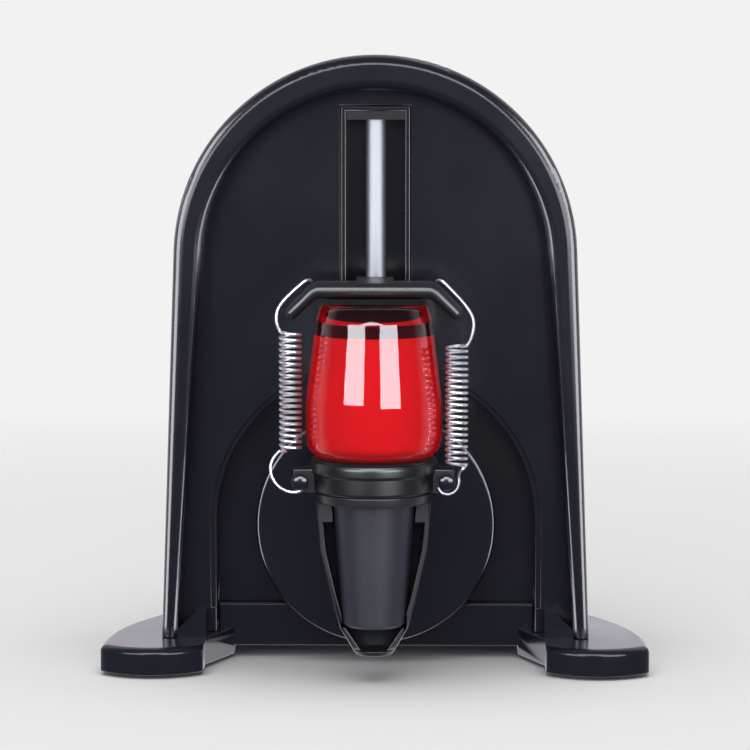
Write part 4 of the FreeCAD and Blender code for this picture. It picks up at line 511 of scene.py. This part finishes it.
def rounded(corners, steps):
    """Points of a line whose corners are rounded; each corner is (across, up, radius) in mm.

    The first and the last corner are kept as they are.
    """
    points = [Vector(corners[0][:2])]
    for before, here, after in zip(corners, corners[1:], corners[2:]):
        corner, radius = Vector(here[:2]), here[2]
        into, out = corner - Vector(before[:2]), Vector(after[:2]) - corner
        turn = into.angle(out)
        if radius <= 0 or turn < 0.01:
            points.append(corner)
            continue
        reach = min(radius * math.tan(turn / 2), into.length * HALF_SIDE, out.length * HALF_SIDE)
        start, end = corner - into.normalized() * reach, corner + out.normalized() * reach
        for step in range(steps + 1):
            t = step / steps
            points.append(start * (1 - t) ** 2 + corner * 2 * t * (1 - t) + end * t * t)
    points.append(Vector(corners[-1][:2]))
    return points


def lathe(sheet, profile, x, y, z=0.0, axis="Z", segments=96, closed=False):
    """Add a form turned from a profile of (radius, height) in mm round an axis through x, y, z.

    A point on the axis is a single vertex. A profile that isn't closed starts and ends on the axis.
    """
    rings = []
    for radius, height in profile:
        ring = []
        for i in range(segments if radius > 1e-6 else 1):
            angle = 2 * math.pi * i / segments
            across, along = radius * math.cos(angle), radius * math.sin(angle)
            if axis == "Z":
                spot = Vector((x + across, y + along, z + height))
            else:
                spot = Vector((x + across, y + height, z + along))
            ring.append(sheet.verts.new(spot * MM))
        rings.append(ring)
    faces = []
    for low, high in list(zip(rings, rings[1:])) + ([(rings[-1], rings[0])] if closed else []):
        if len(low) == 1 and len(high) == 1:
            continue
        for i in range(segments):
            corners = [low[i % len(low)], low[(i + 1) % len(low)],
                       high[(i + 1) % len(high)], high[i % len(high)]]
            faces.append(sheet.faces.new(list(dict.fromkeys(corners))))
    bmesh.ops.recalc_face_normals(sheet, faces=faces)


def plate(sheet, half_width, low, high, front, back):
    """Add a closed plate with its middle at x = 0, between two heights and two depths, in mm."""
    outline = [(-half_width, low), (half_width, low), (half_width, high), (-half_width, high)]
    near = [sheet.verts.new(Vector((x, front, z)) * MM) for x, z in outline]
    far = [sheet.verts.new(Vector((x, back, z)) * MM) for x, z in outline]
    faces = [sheet.faces.new(near), sheet.faces.new(far[::-1])]
    for i in range(len(outline)):
        j = (i + 1) % len(outline)
        faces.append(sheet.faces.new([near[j], near[i], far[i], far[j]]))
    bmesh.ops.recalc_face_normals(sheet, faces=faces)


def sweep(sheet, path, section, swell):
    """Add a closed bar along a path of (x, z) in mm, with domed ends.

    The section's points are (y, offset across the path); swell(x) scales the offset along the path.
    """
    rounding = 1.2  # of the domed ends, in mm
    depths = [y for y, _ in section]
    middle = (min(depths) + max(depths)) / 2
    half_depth = (max(depths) - min(depths)) / 2
    half_height = max(offset for _, offset in section)

    def dome(end, sense):
        """Stations that close an end, each with the cosine of how far it has turned in."""
        point, tangent, scale, _ = end
        return [(point + tangent * sense * rounding * math.sin(a), tangent, scale, math.cos(a))
                for a in (math.radians(angle) for angle in (25, 50, 70))]

    tangents = [(after - before).normalized()
                for before, after in zip([path[0]] + path[:-1], path[1:] + [path[-1]])]
    stations = [(point, tangent, swell(point.x), 1.0) for point, tangent in zip(path, tangents)]
    stations = dome(stations[0], -1)[::-1] + stations + dome(stations[-1], 1)
    rings = []
    for point, tangent, scale, full in stations:
        across = Vector((-tangent.y, tangent.x))
        drawn_in = (1.0 - full) * rounding
        ring = []
        for y, offset in section:
            spot = point + across * offset * scale * (1.0 - drawn_in / half_height)
            deep = middle + (y - middle) * (1.0 - drawn_in / half_depth)
            ring.append(sheet.verts.new(Vector((spot.x, deep, spot.y)) * MM))
        rings.append(ring)
    faces = [sheet.faces.new(rings[0]), sheet.faces.new(rings[-1][::-1])]
    count = len(section)
    for low, high in zip(rings, rings[1:]):
        faces += [sheet.faces.new([low[i], low[(i + 1) % count], high[(i + 1) % count], high[i]])
                  for i in range(count)]
    bmesh.ops.recalc_face_normals(sheet, faces=faces)


# ---------------- geometry nodes

def node_group(name, inputs):
    """Empty node tree on a mesh, with inputs of (name, socket kind, default)."""
    tree = bpy.data.node_groups.new(name, "GeometryNodeTree")
    sockets = tree.interface
    sockets.new_socket(name="Geometry", in_out="OUTPUT", socket_type="NodeSocketGeometry")
    sockets.new_socket(name="Geometry", in_out="INPUT", socket_type="NodeSocketGeometry")
    for label, kind, default in inputs:
        socket = sockets.new_socket(name=label, in_out="INPUT", socket_type=kind)
        if default is not None:
            socket.default_value = default
    start = tree.nodes.new("NodeGroupInput").outputs
    return tree, start


def grown(name, mesh, tree, values):
    """Plain mesh that a node tree makes from another mesh, with the tree's inputs by name."""
    holder = new_object(name, mesh)
    modifier = holder.modifiers.new(tree.name, "NODES")
    modifier.node_group = tree
    sockets = {item.name: item.identifier for item in tree.interface.items_tree
               if item.in_out == "INPUT"}
    for label, value in values.items():
        modifier[sockets[label]] = value
    graph = bpy.context.evaluated_depsgraph_get()
    result = bpy.data.meshes.new_from_object(holder.evaluated_get(graph), depsgraph=graph)
    holder.modifiers.remove(modifier)
    bpy.data.objects.remove(holder)
    bpy.data.meshes.remove(mesh)
    result.name = name
    return result


def polylines(name, lines):
    """Mesh of open lines through points in mm, for a node tree to follow."""
    points, edges = [], []
    for line in lines:
        edges += [(len(points) + i, len(points) + i + 1) for i in range(len(line) - 1)]
        points += [tuple(Vector(point) * MM) for point in line]
    mesh = bpy.data.meshes.new(name)
    mesh.from_pydata(points, edges, [])
    return mesh


# ---------------- housing

# arch outlines of the rim, in mm: radius, centre height, half width at the foot, foot height
RIM_OUTSIDE = (55.4, 114.0, 59.2, 8.5)
RIM_INSIDE = (47.1, 112.5, 55.0, 7.5)
RIM_FOOT = RIM_OUTSIDE[3]
RIM_NEAR = 0.02  # how far a point on an outline may lie off it, in mm
RIM_SHARE = 0.47  # widest rounding, as a share of the rim's width
CAD_RIM_ROUND = 1.6  # rounding of the rim in the solids, in mm


def inside_arch(x, z, outline):
    """Distance in mm by which a point lies inside an arch of a half circle on spreading legs."""
    radius, centre, foot_half, foot = outline
    drop = centre - foot
    far = math.hypot(foot_half, drop)
    tangent = math.sqrt(far * far - radius * radius)
    touch_x = (radius * radius * foot_half + radius * tangent * drop) / (far * far)
    touch_z = centre - (radius * radius * drop - radius * tangent * foot_half) / (far * far)
    x = abs(x)
    if z >= touch_z:
        return radius - math.hypot(x, z - centre)
    along = Vector((foot_half - touch_x, foot - touch_z)).normalized()
    return along.y * (x - touch_x) - along.x * (z - touch_z)


def inwards(x, z, outline):
    """Direction from the nearest point of an arch towards its inside."""
    step = 0.01
    return Vector((
        inside_arch(x + step, z, outline) - inside_arch(x - step, z, outline),
        inside_arch(x, z + step, outline) - inside_arch(x, z - step, outline))).normalized()


def rim_place(point):
    """A point's x, depth and z in mm, and how far into the rim it lies from its two outlines."""
    x, depth, z = point.x / MM, point.y / MM - FACE, point.z / MM
    return x, depth, z, inside_arch(x, z, RIM_OUTSIDE), -inside_arch(x, z, RIM_INSIDE)


def fuller_rim(point):
    """Move a point of the rim's small edge roundings out to the full roundings."""
    x, depth, z, outer, inner = rim_place(point)
    small = CAD_RIM_ROUND + RIM_NEAR
    if depth > small or z < RIM_FOOT - 0.5:
        return point
    full = min(bpy.context.scene.shaker_housing.rim_round / MM, (outer + inner) * RIM_SHARE)
    y = depth * full / CAD_RIM_ROUND + FACE
    if inner < -RIM_NEAR:
        # The small sloped block beside the rim's foot stays flat and goes back with the rounding.
        return Vector((x, y, z)) * MM
    for distance, outline, sense in ((outer, RIM_OUTSIDE, 1), (inner, RIM_INSIDE, -1)):
        if -RIM_NEAR <= distance <= small:
            slope = inwards(x, z, outline)
            move = distance * (full / CAD_RIM_ROUND - 1) * sense
            return Vector((x + slope.x * move, y, z + slope.y * move)) * MM
    return point


def rim_edge(edge):
    """Share of the edge rounding for an edge of the housing.

    The rim's own roundings are smooth already, and the blocks beside its feet stay sharp.
    """
    round_depth = bpy.context.scene.shaker_housing.rim_round / MM + 0.05
    share = None
    for vertex in edge.verts:
        _, depth, z, _, inner = rim_place(vertex.co)
        if depth <= round_depth and inner < -3 * RIM_NEAR:
            return 0.0
        if depth > round_depth or z < RIM_FOOT + 1.0:
            share = 1.0
    return share


class SHAKER_OT_housing(bpy.types.Operator):
    """Round the moulded edges of the stand, the button and the disc, and give them finishes"""
    bl_idname = "shaker.housing"
    bl_label = "Housing"

    def execute(self, context):
        width = context.scene.shaker_housing.edge_round
        softened("front_shell", "front_housing", "stand", width, rim_edge, fuller_rim)
        for node_name, name, body, share, slot in (
                ("base_tray", "base", "stand", 1.5, "black_gloss"),
                ("rod_channel", "channel", "stand", 1.0, "black_gloss"),
                ("button_bezel", "button_ring", "stand", 1.0, None),
                ("power_button", "push_button", "button", 1.5, None),
                ("power_jack", "power_socket", "stand", 0.6, None),
                ("crank_disc", "turning_disc", "crank", 1.4, "black_gloss")):
            softened(node_name, name, body, width * share, slot=slot)
        dress("rear_cover", "bottom_plate", "rubber_feet", "rod_seats", "guide_rod")
        return {"FINISHED"}


# ---------------- carrier

# soft top edge of the collar, in mm: its two heights, how far it draws in, and from what radius
COLLAR_LOW, COLLAR_TOP, COLLAR_INSET, COLLAR_RADIUS = 59.2, 62.0, 1.9, 17.2
COLLAR_BANDS = 8  # bands that the soft edge is cut into


def rounded_collar(point):
    """Draw the collar's outside in towards its top, as a soft round edge."""
    across, along, up = point.x / MM, point.y / MM - BOTTLE_Y, point.z / MM
    radius = math.hypot(across, along)
    if up <= COLLAR_LOW or not -1.0 < radius - COLLAR_RADIUS < 0.1:
        return point
    share = min((up - COLLAR_LOW) / (COLLAR_TOP - COLLAR_LOW), 1.0)
    new = COLLAR_RADIUS - COLLAR_INSET * (1 - math.sqrt(1 - share * share))
    return Vector((across * new / radius, along * new / radius + BOTTLE_Y, up)) * MM


class SHAKER_OT_carrier(bpy.types.Operator):
    """Round the edges of the cup, the collar and the spine that hold the bottle"""
    bl_idname = "shaker.carrier"
    bl_label = "Carrier"

    def execute(self, context):
        width = context.scene.shaker_carrier.edge_round
        band = (COLLAR_TOP - COLLAR_LOW) / COLLAR_BANDS
        softened("bottle_cup", "cup", "carriage", width)
        cuts = [COLLAR_LOW + band * step for step in range(1, COLLAR_BANDS)]
        softened("clamp_ring", "collar", "carriage", width, reshape=rounded_collar,
                 slot="black_satin", heights=cuts)
        softened("carrier_spine", "spine", "carriage", width)
        dress("ring_screws")
        return {"FINISHED"}


class SHAKER_OT_pins(bpy.types.Operator):
    """Turn the two spring pins: a shank in the collar's ear, and a round head in front of it"""
    bl_idname = "shaker.pins"
    bl_label = "Pins"

    def execute(self, context):
        head = context.scene.shaker_carrier.pin_head / MM
        end, seat, crown = -32.9, -37.1, -39.1  # y of the shank's end and of the head's two sides
        shank, chamfer = 1.2, 0.2
        beside, height = 19.6, 55.8  # of the pins' axes
        profile = [(0, end), (shank - chamfer, end), (shank, end - chamfer), (shank, seat)]
        profile += [(head * math.sin(a), seat + (crown - seat) / 2 * (1 - math.cos(a)))
                    for a in (math.radians(angle) for angle in range(20, 180, 16))]
        profile.append((0, crown))
        sheet = bmesh.new()
        for x in (-beside, beside):
            lathe(sheet, profile, x, 0, height, axis="Y", segments=40)
        weigh_edges(sheet)
        add_piece("pins", sheet, "spring_pins", "carriage", "black_gloss")
        return {"FINISHED"}


def bar_height(x):
    """Share of the bar's height that is left at x, in mm: its arms are thinner than its middle."""
    thinner, start, run = 0.22, 15.0, 4.0
    return 1.0 - thinner * min(max((abs(x) - start) / run, 0.0), 1.0)


class SHAKER_OT_yoke(bpy.types.Operator):
    """Bend the sprung bar over the bottle, with its sloping arms and the guide tab behind"""
    bl_idname = "shaker.yoke"
    bl_label = "Yoke"

    def execute(self, context):
        look = context.scene.shaker_carrier
        arm_x, arm_z, bar_x, bar_z, bend = 22.1, 100.55, 15.9, 106.6, 4.0
        path = rounded([(-arm_x, arm_z, 0), (-bar_x, bar_z, bend), (bar_x, bar_z, bend),
                        (arm_x, arm_z, 0)], 8)
        front, middle, back, half = -35.5, -30, -24.7, 2.15
        soft, crisp = look.yoke_front / MM, look.yoke_back / MM
        section = rounded([(middle, half, 0), (front, half, soft), (front, -half, soft),
                           (back, -half, crisp), (back, half, crisp), (middle, half, 0)], 5)[:-1]
        sheet = bmesh.new()
        sweep(sheet, path, section, bar_height)
        # the guide tab: back from the bar, and down behind the bottle
        plate(sheet, 5, low=106.55, high=108.7, front=-25.7, back=-9.9)
        plate(sheet, 5, low=76.0, high=108.65, front=-10.9, back=-9.8)
        weigh_edges(sheet)
        add_piece("yoke_bar", sheet, "yoke", "yoke")
        dress("yoke_pad", "slider_block", "slider_bushes", "pivot_pin")
        return {"FINISHED"}


# ---------------- springs

# hooks as (distance from the middle, depth behind the coil's axis, height above the coil's end)
LEFT_HIGH_HOOK = [(25.6, 0.0, 1.6), (25.9, 0.1, 3.6), (25.5, 0.3, 5.8), (24.2, 0.5, 7.9),
                  (22.4, 0.8, 9.8), (20.0, 1.0, 12.0), (18.2, 1.2, 13.4), (17.2, 2.1, 13.6),
                  (16.7, 3.6, 13.2)]
RIGHT_HIGH_HOOK = [(25.8, 0.0, 1.5), (26.5, 0.1, 3.9), (26.6, 0.3, 6.4), (25.6, 0.5, 9.0),
                   (23.4, 0.8, 11.9), (20.9, 1.0, 14.5), (18.7, 1.2, 16.7), (17.5, 2.1, 17.2),
                   (16.9, 3.6, 16.8)]
LEFT_LOW_HOOK = [(26.6, 0.0, -1.9), (27.5, 0.0, -4.2), (27.3, 0.0, -6.7), (26.1, 0.0, -8.9),
                 (24.3, 0.0, -10.4), (22.2, 0.0, -11.1), (20.2, 0.0, -11.0), (18.7, 0.0, -10.1),
                 (17.8, 0.0, -8.8)]
RIGHT_LOW_HOOK = [(24.0, -1.4, -0.9), (23.1, -0.6, -1.9), (22.8, 0.0, -3.2), (22.8, 0.0, -4.9),
                  (22.3, 0.0, -6.5), (21.2, 0.0, -7.6), (19.7, 0.0, -8.0), (18.2, 0.0, -7.5),
                  (17.3, 0.0, -6.2)]
COIL_RISE = 0.12  # mm that the wire rises in a radian where a hook leaves it


def spring_tree():
    """Node tree: a coil, and hooks that follow the lines of the mesh it is given."""
    tree, start = node_group("wire_spring", [
        ("Turns", "NodeSocketFloat", 20.0), ("Coil Radius", "NodeSocketFloat", 0.0027),
        ("Wire Radius", "NodeSocketFloat", 0.0004), ("Length", "NodeSocketFloat", 0.0323),
        ("Foot", "NodeSocketVector", None), ("Start Angle", "NodeSocketFloat", 0.0),
        ("Material", "NodeSocketMaterial", None)])
    coil = add_node(tree, "GeometryNodeCurveSpiral", {
        "Resolution": 28, "Rotations": start["Turns"], "Start Radius": start["Coil Radius"],
        "End Radius": start["Coil Radius"], "Height": start["Length"]})
    turn = add_node(tree, "ShaderNodeCombineXYZ", {"Z": start["Start Angle"]})
    placed = add_node(tree, "GeometryNodeTransform", {
        "Geometry": coil.outputs["Curve"], "Translation": start["Foot"],
        "Rotation": turn.outputs["Vector"]})
    hooks = add_node(tree, "GeometryNodeMeshToCurve", {"Mesh": start["Geometry"]})
    smooth = add_node(tree, "GeometryNodeCurveSplineType", {"Curve": hooks.outputs["Curve"]},
                      spline_type="CATMULL_ROM")
    fine = add_node(tree, "GeometryNodeSetSplineResolution", {
        "Geometry": smooth.outputs["Curve"], "Resolution": 8})
    both = add_node(tree, "GeometryNodeJoinGeometry")
    tree.links.new(placed.outputs["Geometry"], both.inputs["Geometry"])
    tree.links.new(fine.outputs["Geometry"], both.inputs["Geometry"])
    ring = add_node(tree, "GeometryNodeCurvePrimitiveCircle", {
        "Resolution": 10, "Radius": start["Wire Radius"]})
    wire = add_node(tree, "GeometryNodeCurveToMesh", {
        "Curve": both.outputs["Geometry"], "Profile Curve": ring.outputs["Curve"],
        "Fill Caps": True})
    real = add_node(tree, "GeometryNodeRealizeInstances", {"Geometry": wire.outputs["Mesh"]})
    painted = add_node(tree, "GeometryNodeSetMaterial", {
        "Geometry": real.outputs["Geometry"], "Material": start["Material"]})
    add_node(tree, "NodeGroupOutput", {"Geometry": painted.outputs["Geometry"]})
    return tree


def coil_end(side, coil, height, outward):
    """Points on the last part of a coil's turn, so that a hook leaves it along the wire.

    The turn ends at the coil's outer side. outward is 1 at the top and -1 at the foot.
    """
    return [(side * (SPRING_X + coil * math.cos(a)), SPRING_Y + coil * math.sin(a),
             height + outward * a * COIL_RISE) for a in (-1.2, -0.8, -0.4, 0.0)]


class SHAKER_OT_springs(bpy.types.Operator):
    """Wind the two wire springs, with hooks that hold the pins and the bar's arms"""
    bl_idname = "shaker.springs"
    bl_label = "Springs"

    def execute(self, context):
        look = context.scene.shaker_springs
        tree = spring_tree()
        coil = look.coil_radius / MM
        for hand, side, foot, low, high, angle in (
                ("left", -1, look.left_foot, LEFT_LOW_HOOK, LEFT_HIGH_HOOK, math.pi),
                ("right", 1, look.right_foot, RIGHT_LOW_HOOK, RIGHT_HIGH_HOOK, 0.0)):
            name = f"wire_spring_{hand}"
            lines = []
            for hook, end, outward in ((low, foot / MM, -1), (high, (foot + look.reach) / MM, 1)):
                lines.append(coil_end(side, coil, end, outward)
                             + [(side * x, SPRING_Y + back, end + up) for x, back, up in hook])
            column = (side * SPRING_X * MM, SPRING_Y * MM)
            mesh = grown(name, polylines("hooks", lines), tree, {
                "Turns": float(look.turns), "Coil Radius": look.coil_radius,
                "Wire Radius": look.wire_radius, "Length": look.reach, "Foot": column + (foot,),
                "Start Angle": angle, "Material": finish("spring_wire")})
            sheet = bmesh.new()
            sheet.from_mesh(mesh)
            bpy.data.meshes.remove(mesh)
            bmesh.ops.recalc_face_normals(sheet, faces=sheet.faces)
            weigh_edges(sheet)
            spring = add_piece(name, sheet, f"spring_{hand}")
            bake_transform(spring, "carriage", "yoke", start=column + (foot,),
                     end=column + (foot + look.reach,))
        return {"FINISHED"}


# ---------------- bottle

NECK_END, NECK_BORE = 52.0, 5.2  # height of the neck's open end and radius of its bore, mm


def bottle_profiles():
    """Outside and inside of the upturned bottle as (radius, height) in mm, from the neck up."""
    outside = rounded([(7.0, NECK_END, 0), (7.0, 61.0, 0.8), (12.0, 61.2, 2.0), (17.6, 62.8, 3.6),
                       (18.4, 68.0, 5.0), (18.4, 77.0, 26.0), (15.6, 98.6, 3.0), (14.2, 102.8, 1.6),
                       (0, 102.8, 0)], 8)
    inside = rounded([(NECK_BORE, NECK_END, 0), (NECK_BORE, 62.8, 1.5), (12.6, 63.6, 2.0),
                      (15.9, 64.8, 2.6), (16.6, 68.4, 5.0), (16.6, 77.0, 24.0), (14.0, 97.8, 3.0),
                      (0, 97.8, 0)], 8)
    return outside, inside


def lacquer_profile(inside, level, wet):
    """Profile of the lacquer: the bottle's inside, a little fuller, with a point at the level."""
    neck_end = NECK_END + 0.1
    filled = [(0, neck_end), (NECK_BORE + wet, neck_end)]
    # Above the level the fill goes on up to the base, and there carries the painted shade of the empty
    # space.
    for low, high in zip(inside[1:], inside[2:]):
        up = wet if low.y > level else -wet * 0.4
        filled.append((low.x + wet, low.y + up))
        if low.y < level <= high.y:
            filled.append((low.lerp(high, (level - low.y) / (high.y - low.y)).x + wet, level))
    filled.append((0, inside[-1].y + wet))
    return filled


class SHAKER_OT_bottle(bpy.types.Operator):
    """Turn the bottle's glass and the lacquer in it, and give the cap its finish"""
    bl_idname = "shaker.bottle"
    bl_label = "Bottle"

    def execute(self, context):
        look = context.scene.shaker_bottle
        outside, inside = bottle_profiles()
        sheet = bmesh.new()
        lathe(sheet, outside + inside[::-1], 0, BOTTLE_Y, closed=True)
        glass = add_piece("clear_bottle", sheet, "bottle_glass", "carriage")
        glass.visible_shadow = False  # so that the lamps reach the lacquer

        sheet = bmesh.new()
        lathe(sheet, lacquer_profile(inside, look.level / MM, look.overlap / MM), 0, BOTTLE_Y)
        weigh_edges(sheet)
        add_piece("lacquer_fill", sheet, "bottle_lacquer", "carriage")
        dress("bottle_cap")
        return {"FINISHED"}


# ---------------- drive

DRIVE = ("base_screws", "bearing_housing", "housing_screws", "front_bearing_outer",
         "rear_bearing_outer", "drive_belt", "motor_can", "motor_end_cap", "motor_terminals",
         "motor_magnet_ring", "motor_bracket", "bracket_screws", "switch_body", "power_jack_pin",
         "circuit_board", "board_parts", "board_screws", "cover_screws", "drive_shaft",
         "counterweight", "crank_pin", "driven_pulley", "pulley_clip", "front_bearing_inner",
         "rear_bearing_inner", "crank_bearing_inner", "motor_armature", "motor_shaft",
         "motor_pulley", "crank_bearing_outer")


class SHAKER_OT_drive(bpy.types.Operator):
    """Give the motor, belt, bearings, screws and circuit board their finishes"""
    bl_idname = "shaker.drive"
    bl_label = "Drive"

    def execute(self, context):
        dress(*DRIVE)
        return {"FINISHED"}


# ---------------- stage

COOL = (0.93, 0.94, 1.0)  # tint of the lamps that show in gloss
CARRIER = ["clear_bottle", "cup", "collar", "pins", "yoke_bar", "wire_spring_left",
           "wire_spring_right", "bottle_cap", "spine"]


def stand_facing(thing, azimuth, elevation, distance):
    """Put a lamp or the camera where it faces the machine; angles in radians, metres."""
    away = Vector((math.sin(azimuth) * math.cos(elevation),
                   -math.cos(azimuth) * math.cos(elevation), math.sin(elevation)))
    thing.location = Vector((0, FACE * MM, MIDDLE * MM)) + away * distance
    thing.rotation_mode = "QUATERNION"
    thing.rotation_quaternion = away.to_track_quat("Z", "Y")


def softbox(name, azimuth, elevation, width, height, distance, radiance, tint=(1, 1, 1),
            mirrored=True):
    """Rectangular lamp that faces the machine; angles in degrees, sizes in metres.

    A mirrored one shows only in gloss, and any other only lights colours.
    """
    light = bpy.data.lights.new(name, "AREA")
    light.shape = "RECTANGLE"
    light.size, light.size_y = width, height
    light.energy = radiance * width * height * math.pi
    light.color = tint
    lamp = new_object(name, light)
    stand_facing(lamp, math.radians(azimuth), math.radians(elevation), distance)
    lamp.visible_camera = False
    lamp.visible_diffuse = not mirrored
    lamp.visible_glossy = mirrored
    lamp.visible_transmission = mirrored
    return lamp


def link(lamp, names, state="INCLUDE"):
    """Let a lamp light only the pieces named, or all but them."""
    receivers = bpy.data.collections.new(f"{lamp.name}_receivers")
    for name in names:
        receivers.objects.link(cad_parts.get(name) or bpy.data.objects[name])
    for entry in receivers.collection_objects:
        entry.light_linking.link_state = state
    lamp.light_linking.receiver_collection = receivers


def build_world(background):
    """Plain background, and a room that is dim in front and bright behind for reflections."""
    world = bpy.data.worlds.new("studio")
    bpy.context.scene.world = world
    world.use_nodes = True
    tree = world.node_tree
    tree.nodes.clear()
    way = add_node(tree, "ShaderNodeTexCoord").outputs["Generated"]
    axes = add_node(tree, "ShaderNodeSeparateXYZ", {"Vector": way})
    behind = add_node(tree, "ShaderNodeMapRange", {
        "Value": axes.outputs["Y"], "From Min": -0.1, "From Max": 0.35})
    room = add_node(tree, "ShaderNodeMix", {
        "Factor": behind.outputs["Result"], "A": (0.14, 0.14, 0.16, 1), "B": (1.10, 1.07, 1.15, 1)},
        data_type="RGBA")
    rays = add_node(tree, "ShaderNodeLightPath")
    light = (0.45, 0.45, 0.46, 1)  # for colours; the rays named below see something else
    for kind, seen in (("Is Glossy Ray", room.outputs["Result"]),
                       ("Is Transmission Ray", (0.05, 0.05, 0.06, 1)),
                       ("Is Camera Ray", background)):
        light = add_node(tree, "ShaderNodeMix", {
            "Factor": rays.outputs[kind], "A": light, "B": seen},
            data_type="RGBA").outputs["Result"]
    back = add_node(tree, "ShaderNodeBackground", {"Color": light, "Strength": 1.0})
    add_node(tree, "ShaderNodeOutputWorld", {"Surface": back.outputs["Background"]})


def build_floor(background):
    """Pale sheet of paper that fades into the background."""
    sheet = bmesh.new()
    bmesh.ops.create_circle(sheet, cap_ends=True, segments=96, radius=0.7)
    floor = object_from("floor", sheet)
    material, tree, shader, place = new_finish("pale_paper_sweep", {
        "Base Color": background, "Roughness": 0.9, "Specular IOR Level": 0.0})
    far = add_node(tree, "ShaderNodeVectorMath", {0: place}, operation="LENGTH")
    fade = add_node(tree, "ShaderNodeMapRange", {
        "Value": far.outputs["Value"], "From Min": 0.16, "From Max": 0.60})
    clear = add_node(tree, "ShaderNodeBsdfTransparent")
    both = add_node(tree, "ShaderNodeMixShader", {
        0: fade.outputs["Result"], 1: shader.outputs["BSDF"], 2: clear.outputs["BSDF"]})
    output = next(node for node in tree.nodes if node.type == "OUTPUT_MATERIAL")
    tree.links.new(both.outputs["Shader"], output.inputs["Surface"])
    floor.data.materials.append(material)
    floor.visible_glossy = False


def build_lamps(look):
    """Windows that show in gloss, lamps that light colours, and lamps for the rod and the sides."""
    for group, names, glow, state in (
            ("carrier", CARRIER, look.windows, "INCLUDE"),
            ("housing", CARRIER + ["guide_rod"], look.windows * 0.4, "EXCLUDE")):
        for name, azimuth, elevation, width, height in (
                ("left_window", -33, 10, 0.55, 0.24), ("right_window", 29, 8, 0.55, 0.31),
                ("upper_front", -2, 24, 0.60, 0.24)):
            lamp = softbox(f"{group}_{name}", azimuth, elevation, width, height, 0.9, glow, COOL)
            link(lamp, names, state)
    softbox("front_fill", -12, 32, 1.2, 1.0, 1.3, look.fill, mirrored=False)
    softbox("overhead", 0, 85, 1.0, 0.8, 1.0, look.overhead, mirrored=False)
    link(softbox("cup_fill", 1, 6, 0.3, 0.3, 0.7, look.cup_fill, mirrored=False), ["cup"])
    for side, name in ((-1, "left"), (1, "right")):
        strip = softbox(f"{name}_strip", side * 67, 4, 0.65, 1.3, 1.0, look.strips, COOL)
        link(strip, ["front_housing", "channel", "turning_disc"])
        wrap = softbox(f"{name}_wrap", side * 52, 4, 2.5, 1.6, 1.0, look.wraps, COOL)
        link(wrap, ["guide_rod"])


def build_camera(look):
    """Camera with a long lens, a little above the machine's middle."""
    data = bpy.data.cameras.new("camera")
    data.lens = 140
    data.sensor_width = 36
    camera = new_object("camera", data)
    stand_facing(camera, look.azimuth, look.elevation, look.distance)
    bpy.context.scene.camera = camera


class SHAKER_OT_stage(bpy.types.Operator):
    """Set up the background, floor, lamps and camera"""
    bl_idname = "shaker.stage"
    bl_label = "Stage"

    def execute(self, context):
        look = context.scene.shaker_stage
        context.scene.view_settings.view_transform = "Standard"
        build_world(look.background)
        build_floor(look.background)
        build_lamps(look)
        build_camera(look)
        return {"FINISHED"}


# ---------------- add-on

OPERATORS = (SHAKER_OT_housing, SHAKER_OT_carrier, SHAKER_OT_pins, SHAKER_OT_yoke,
             SHAKER_OT_springs, SHAKER_OT_bottle, SHAKER_OT_drive, SHAKER_OT_stage)


class SHAKER_PT_panel(bpy.types.Panel):
    """Settings of the shaker and the steps that build it"""
    bl_label = "Shaker"
    bl_idname = "SHAKER_PT_panel"
    bl_space_type = "VIEW_3D"
    bl_region_type = "UI"
    bl_category = "Shaker"

    def draw(self, context):
        for holder, settings in SETTINGS.items():
            box = self.layout.box()
            for name in settings.__annotations__:
                box.prop(getattr(context.scene, holder), name)
        for operator in OPERATORS:
            self.layout.operator(operator.bl_idname)


CLASSES = tuple(SETTINGS.values()) + OPERATORS + (SHAKER_PT_panel,)


def register():
    for item in CLASSES:
        bpy.utils.register_class(item)
    for holder, settings in SETTINGS.items():
        setattr(bpy.types.Scene, holder, PointerProperty(type=settings))


def unregister():
    for holder in SETTINGS:
        delattr(bpy.types.Scene, holder)
    for item in reversed(CLASSES):
        bpy.utils.unregister_class(item)


def main():
    register()
    bpy.ops.shaker.housing()
    bpy.ops.shaker.carrier()
    bpy.ops.shaker.pins()
    bpy.ops.shaker.yoke()
    bpy.ops.shaker.springs()
    bpy.ops.shaker.bottle()
    bpy.ops.shaker.drive()
    bpy.ops.shaker.stage()


if __name__ == "__main__":
    main()
